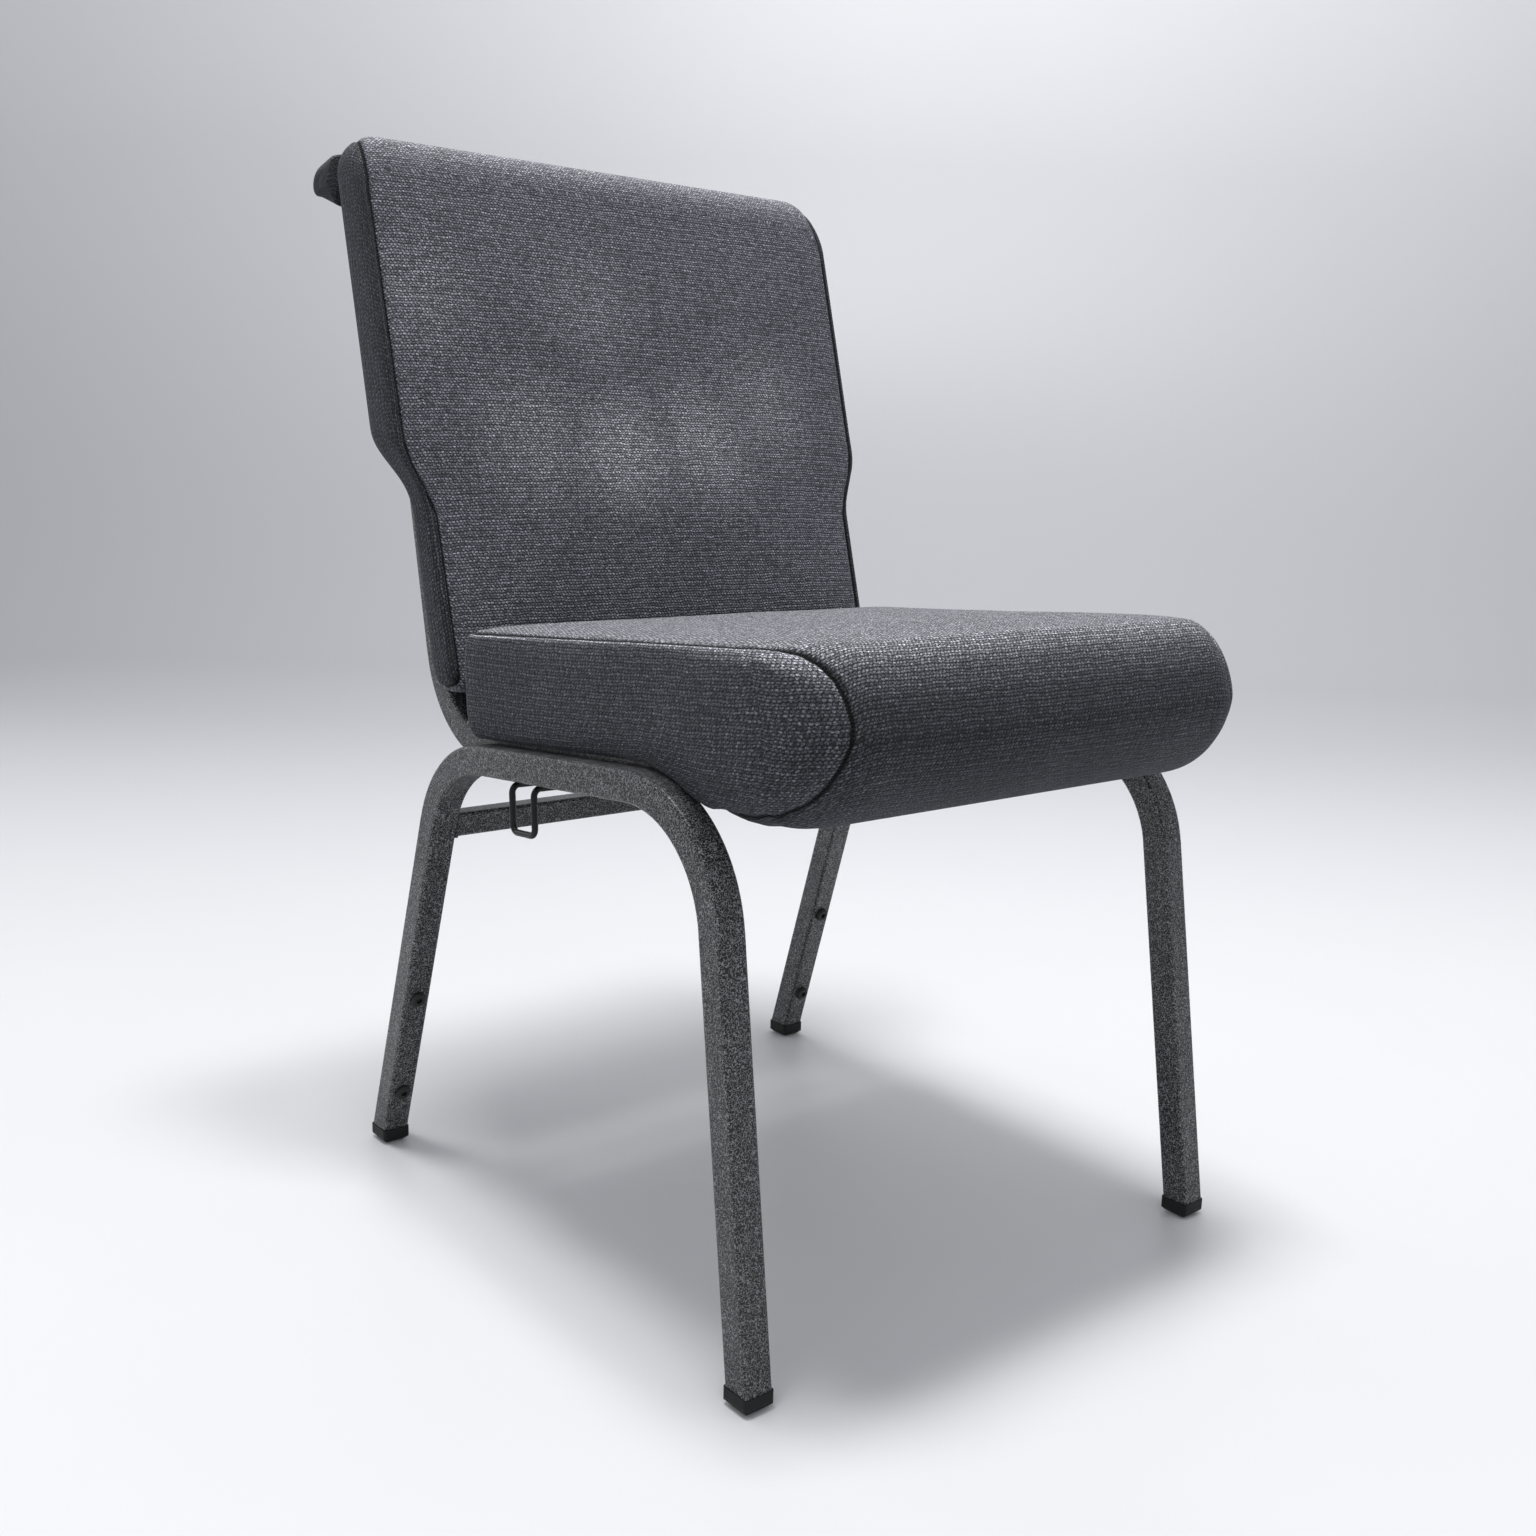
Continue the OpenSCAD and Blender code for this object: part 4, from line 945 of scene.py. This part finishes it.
def dust_paint(g, place):
    """Thin black felted sheet: crossing fibres and a bonded dot pattern."""
    one = g.noise(g.stretch(place, (1.0, 0.1, 1.0)), 900.0, 4.0, 0.7)
    two = g.noise(g.stretch(place, (0.1, 1.0, 1.0)), 900.0, 4.0, 0.7)
    fibre = g.math("MAXIMUM", one, two)
    dot = g.fade(g.add("TexVoronoi", {"Vector": place, "Scale": 480.0}).outputs[0], 0.12, 0.3)
    tone = g.mix(g.fit(fibre, 0.45, 0.75), grey(0.012), grey(0.06, 1.02))
    tone = g.mix(g.times(dot, 0.6), tone, grey(0.008))
    height = g.math("SUBTRACT", fibre, g.times(dot, 0.7))
    return tone, g.line(dot, -0.25, 0.9), (height, 0.6, 0.0003), {"Sheen Weight": 0.2}


def foam_paint(g, place):
    """Cream cut foam with open cells."""
    cells = g.add("TexVoronoi", {"Vector": place, "Scale": 900.0}).outputs[0]
    patch = patches(g, place, 12.0, 150.0)
    tone = g.mix(patch, (0.72, 0.62, 0.36, 1.0), (0.8, 0.72, 0.48, 1.0))
    tone = g.mix(g.fade(cells, 0.05, 0.35), tone, (0.42, 0.34, 0.18, 1.0))
    return tone, g.line(patch, 0.08, 0.88), (cells, 0.5, 0.0006), {}


def plywood_paint(g, place):
    """Birch plywood: long grain on the faces, and its plies show at the edges."""
    long = g.stretch(place, (1.0, 0.06, 0.06))
    grain = g.noise(long, 260.0, 6.0, 0.65, 0.4)
    pore = g.fit(g.noise(long, 1400.0, 3.0, 0.6), 0.56, 0.7)
    axis = g.add("SeparateXYZ", {0: place}).outputs
    ply = g.math("SINE", g.times(g.math("ADD", axis[2], g.times(axis[1], 0.08)), 2900.0))
    tone = g.mix(grain, (0.5, 0.31, 0.16, 1.0), (0.68, 0.5, 0.3, 1.0))
    tone = g.mix(g.times(pore, 0.5), tone, (0.25, 0.14, 0.06, 1.0))
    tone = g.mix(g.fit(ply, 0.5, 1.0, 0.0, 0.18), tone, (0.3, 0.17, 0.08, 1.0))
    return tone, g.line(grain, 0.15, 0.5), (grain, 0.3, 0.0003), {}


def zinc_paint(g, place):
    """Zinc-plated steel: faint blue and yellow passivation and fine lathe marks."""
    tint = patches(g, place, 90.0, 500.0)
    tone = g.mix(tint, (0.5, 0.53, 0.58, 1.0), (0.62, 0.6, 0.52, 1.0))
    marks = g.noise(g.stretch(place, (0.2, 0.2, 1.0)), 2400.0, 2.0)
    return tone, g.line(tint, 0.15, 0.28), (marks, 0.25, 0.0002), {"Metallic": 1.0}


def pale_paint(g, place):
    """Pale studio paper with the faintest mottle, and painted shade for the lamps' falloff: greyer behind the
    chair and most so near the floor.
    """
    tone = g.mix(g.noise(place, 3.0, 3.0), (0.79, 0.79, 0.80, 1.0), (0.82, 0.82, 0.83, 1.0))
    depth = g.vector("DOT_PRODUCT", place, tuple(level_ahead), out=1)
    near_floor = g.fit(g.z_of(place), 0.1, 2.4, 1.0, 0.5)
    tone = g.mix(g.times(g.fit(depth, -0.3, 2.4), near_floor), tone, (0.43, 0.435, 0.455, 1.0))
    return tone, 0.42, None, {"Specular IOR Level": 0.35}


# Painted highlights on the back's front, where the light catches its hollows and bulges: places, sizes and
# strengths.
back_highlight_spots = [(from_back(x, s, 38).tolist(), radius, amount) for x, s, radius, amount in (
    (-118, 216, 0.085, 0.42), (-35, 203, 0.08, 0.75), (48, 214, 0.09, 0.62),
    (122, 250, 0.09, 0.4), (-45, 330, 0.09, 0.25), (-200, 330, 0.08, 0.3))]
# One charcoal cloth in copies that differ in painted light: the back's yarns are painted lighter, the roll
# and rear panel get less painted light on their upward faces, and the side panels are painted lighter on the
# seat and darker on the back.
finishes = {key: material(name, paint) for key, name, paint in (
    ("seat", "charcoal seat cloth", chair_cloth(0.006, 0.13, 1.1, 0.25, 1.45)),
    ("back", "charcoal back cloth", chair_cloth(0.010, 0.4, 1.1, 0.08, 0.34, back_highlight_spots)),
    ("roll", "charcoal roll cloth", chair_cloth(0.006, 0.13, 0.4, panels=False)),
    ("rear", "charcoal rear cloth", chair_cloth(0.006, 0.14, 0.5, panels=False)),
    ("coat", "charcoal veined coat", frame_paint),
    ("weld", "coated weld bead", weld_paint),
    ("wire", "satin black wire", wire_paint),
    ("plastic", "moulded black plastic", plastic_paint),
    ("rubber", "black bumper rubber", rubber_paint),
    ("dust", "black dust sheet", dust_paint),
    ("foam", "cut foam", foam_paint),
    ("plywood", "birch plywood", plywood_paint),
    ("zinc", "zinc plated steel", zinc_paint),
    ("stage", "pale studio paper", pale_paint),
)}


def dress(piece, finish):
    piece.data.materials.clear()
    piece.data.materials.append(finishes[finish])


for piece, finish in ((seat_cover, "seat"), (back_cover, "back"), (back_roll, "roll"), (rear_cloth, "rear"),
                      (dust_sheet, "dust"), (welds, "weld")):
    dress(piece, finish)
for names, finish in (
        (("right_leg_loop", "left_leg_loop", "right_back_upright", "left_back_upright", "front_seat_crossbar",
          "rear_leg_crossbar", "lower_back_crossbar", "upper_back_crossbar"), "coat"),
        (("ganging_loop", "ganging_hook"), "wire"),
        (("front_right_foot_cap", "front_left_foot_cap", "rear_right_foot_cap", "rear_left_foot_cap",
          "upright_end_plugs"), "plastic"),
        (("right_stacking_bumpers", "left_stacking_bumpers"), "rubber"),
        (("seat_foam", "back_foam", "back_right_edge_foam", "back_left_edge_foam"), "foam"),
        (("seat_board", "back_board"), "plywood"),
        (("seat_screws", "seat_tee_nuts", "back_screws", "back_tee_nuts"), "zinc")):
    for name in names:
        for slot_at in nodes[name].material_slots:
            slot_at.material = finishes[finish]

# Camera
SENSOR = 36
PICTURE = 1536
FOCAL = 1592.66449  # in the picture's own pixels, like its width above
ahead = Vector((np.sin(YAW) * np.cos(PITCH), np.cos(YAW) * np.cos(PITCH), np.sin(PITCH)))
right = Vector((np.cos(YAW), -np.sin(YAW), 0))
up = right.cross(ahead)
across = right * np.cos(ROLL) + up * np.sin(ROLL)
upward = up * np.cos(ROLL) - right * np.sin(ROLL)
lens = bpy.data.cameras.new("studio_camera")
lens.sensor_fit = "HORIZONTAL"
lens.sensor_width = SENSOR
lens.lens = SENSOR * FOCAL / PICTURE
lens.clip_start = 0.05
camera = new_object("studio_camera", lens)
camera.matrix_world = Matrix.Translation(Vector(EYE)) @ Matrix((across, upward, -ahead)).transposed().to_4x4()
bpy.context.scene.camera = camera


# Stage
def studio_sweep():
    """A floor that curves up into a wall behind the chair, square to the view."""
    turn = np.radians(np.linspace(0, 90, 24))
    near, far, r, high = -6.0, 3.0, 1.6, 6.0
    run = np.concatenate([np.linspace(near, far, 20)[:-1], far + r * np.sin(turn), [far + r]])
    rise = np.concatenate([np.zeros(19), r - r * np.cos(turn), [high]])
    width = np.linspace(-8, 8, 9)
    grid = np.outer(run, level_ahead)[:, None] + np.outer(width, right)[None]
    grid[..., 2] += rise[:, None]
    quads = grid_faces(len(run), len(width), wrap_columns=False)[:, ::-1]
    return new_object("studio_sweep", smooth_mesh("studio_sweep", grid.reshape(-1, 3), quads.tolist()))


sweep = studio_sweep()
dress(sweep, "stage")


def area_light(name, place, size, power, aim=(0.0, 0.0, 0.3)):
    """A square soft light at a place in the frame, turned to its aim."""
    lamp = bpy.data.lights.new(name, "AREA")
    lamp.shape = "SQUARE"
    lamp.size = size
    lamp.energy = power
    turn = (Vector(aim) - Vector(place)).to_track_quat("-Z", "Y")
    holder = new_object(name, lamp)
    holder.matrix_world = Matrix.Translation(Vector(place)) @ turn.to_matrix().to_4x4()


def in_view(ahead_by, right_by, height):
    """A place in the frame, counted along the camera's heading, to its right and up from the floor."""
    return level_ahead * ahead_by + right * right_by + Vector((0, 0, height))


area_light("high_key", (-0.55, 0.25, 5.3), size=1.0, power=118)
area_light("front_key", (0.15, -0.13, 3.5), size=0.45, power=38)
area_light("left_fill", in_view(1.3, -2.5, 1.0), size=1.3, power=8)
area_light("wall_light", in_view(1.4, 0.9, 3.4), size=2.8, power=92, aim=in_view(4.6, 1.3, 1.8))
world = bpy.data.worlds.new("studio_light")
world.use_nodes = True
sky = world.node_tree.nodes["Background"]
sky.inputs["Color"].default_value = (0.93, 0.95, 1.0, 1.0)
sky.inputs["Strength"].default_value = 0.52
bpy.context.scene.world = world
bpy.context.scene.view_settings.view_transform = "Standard"
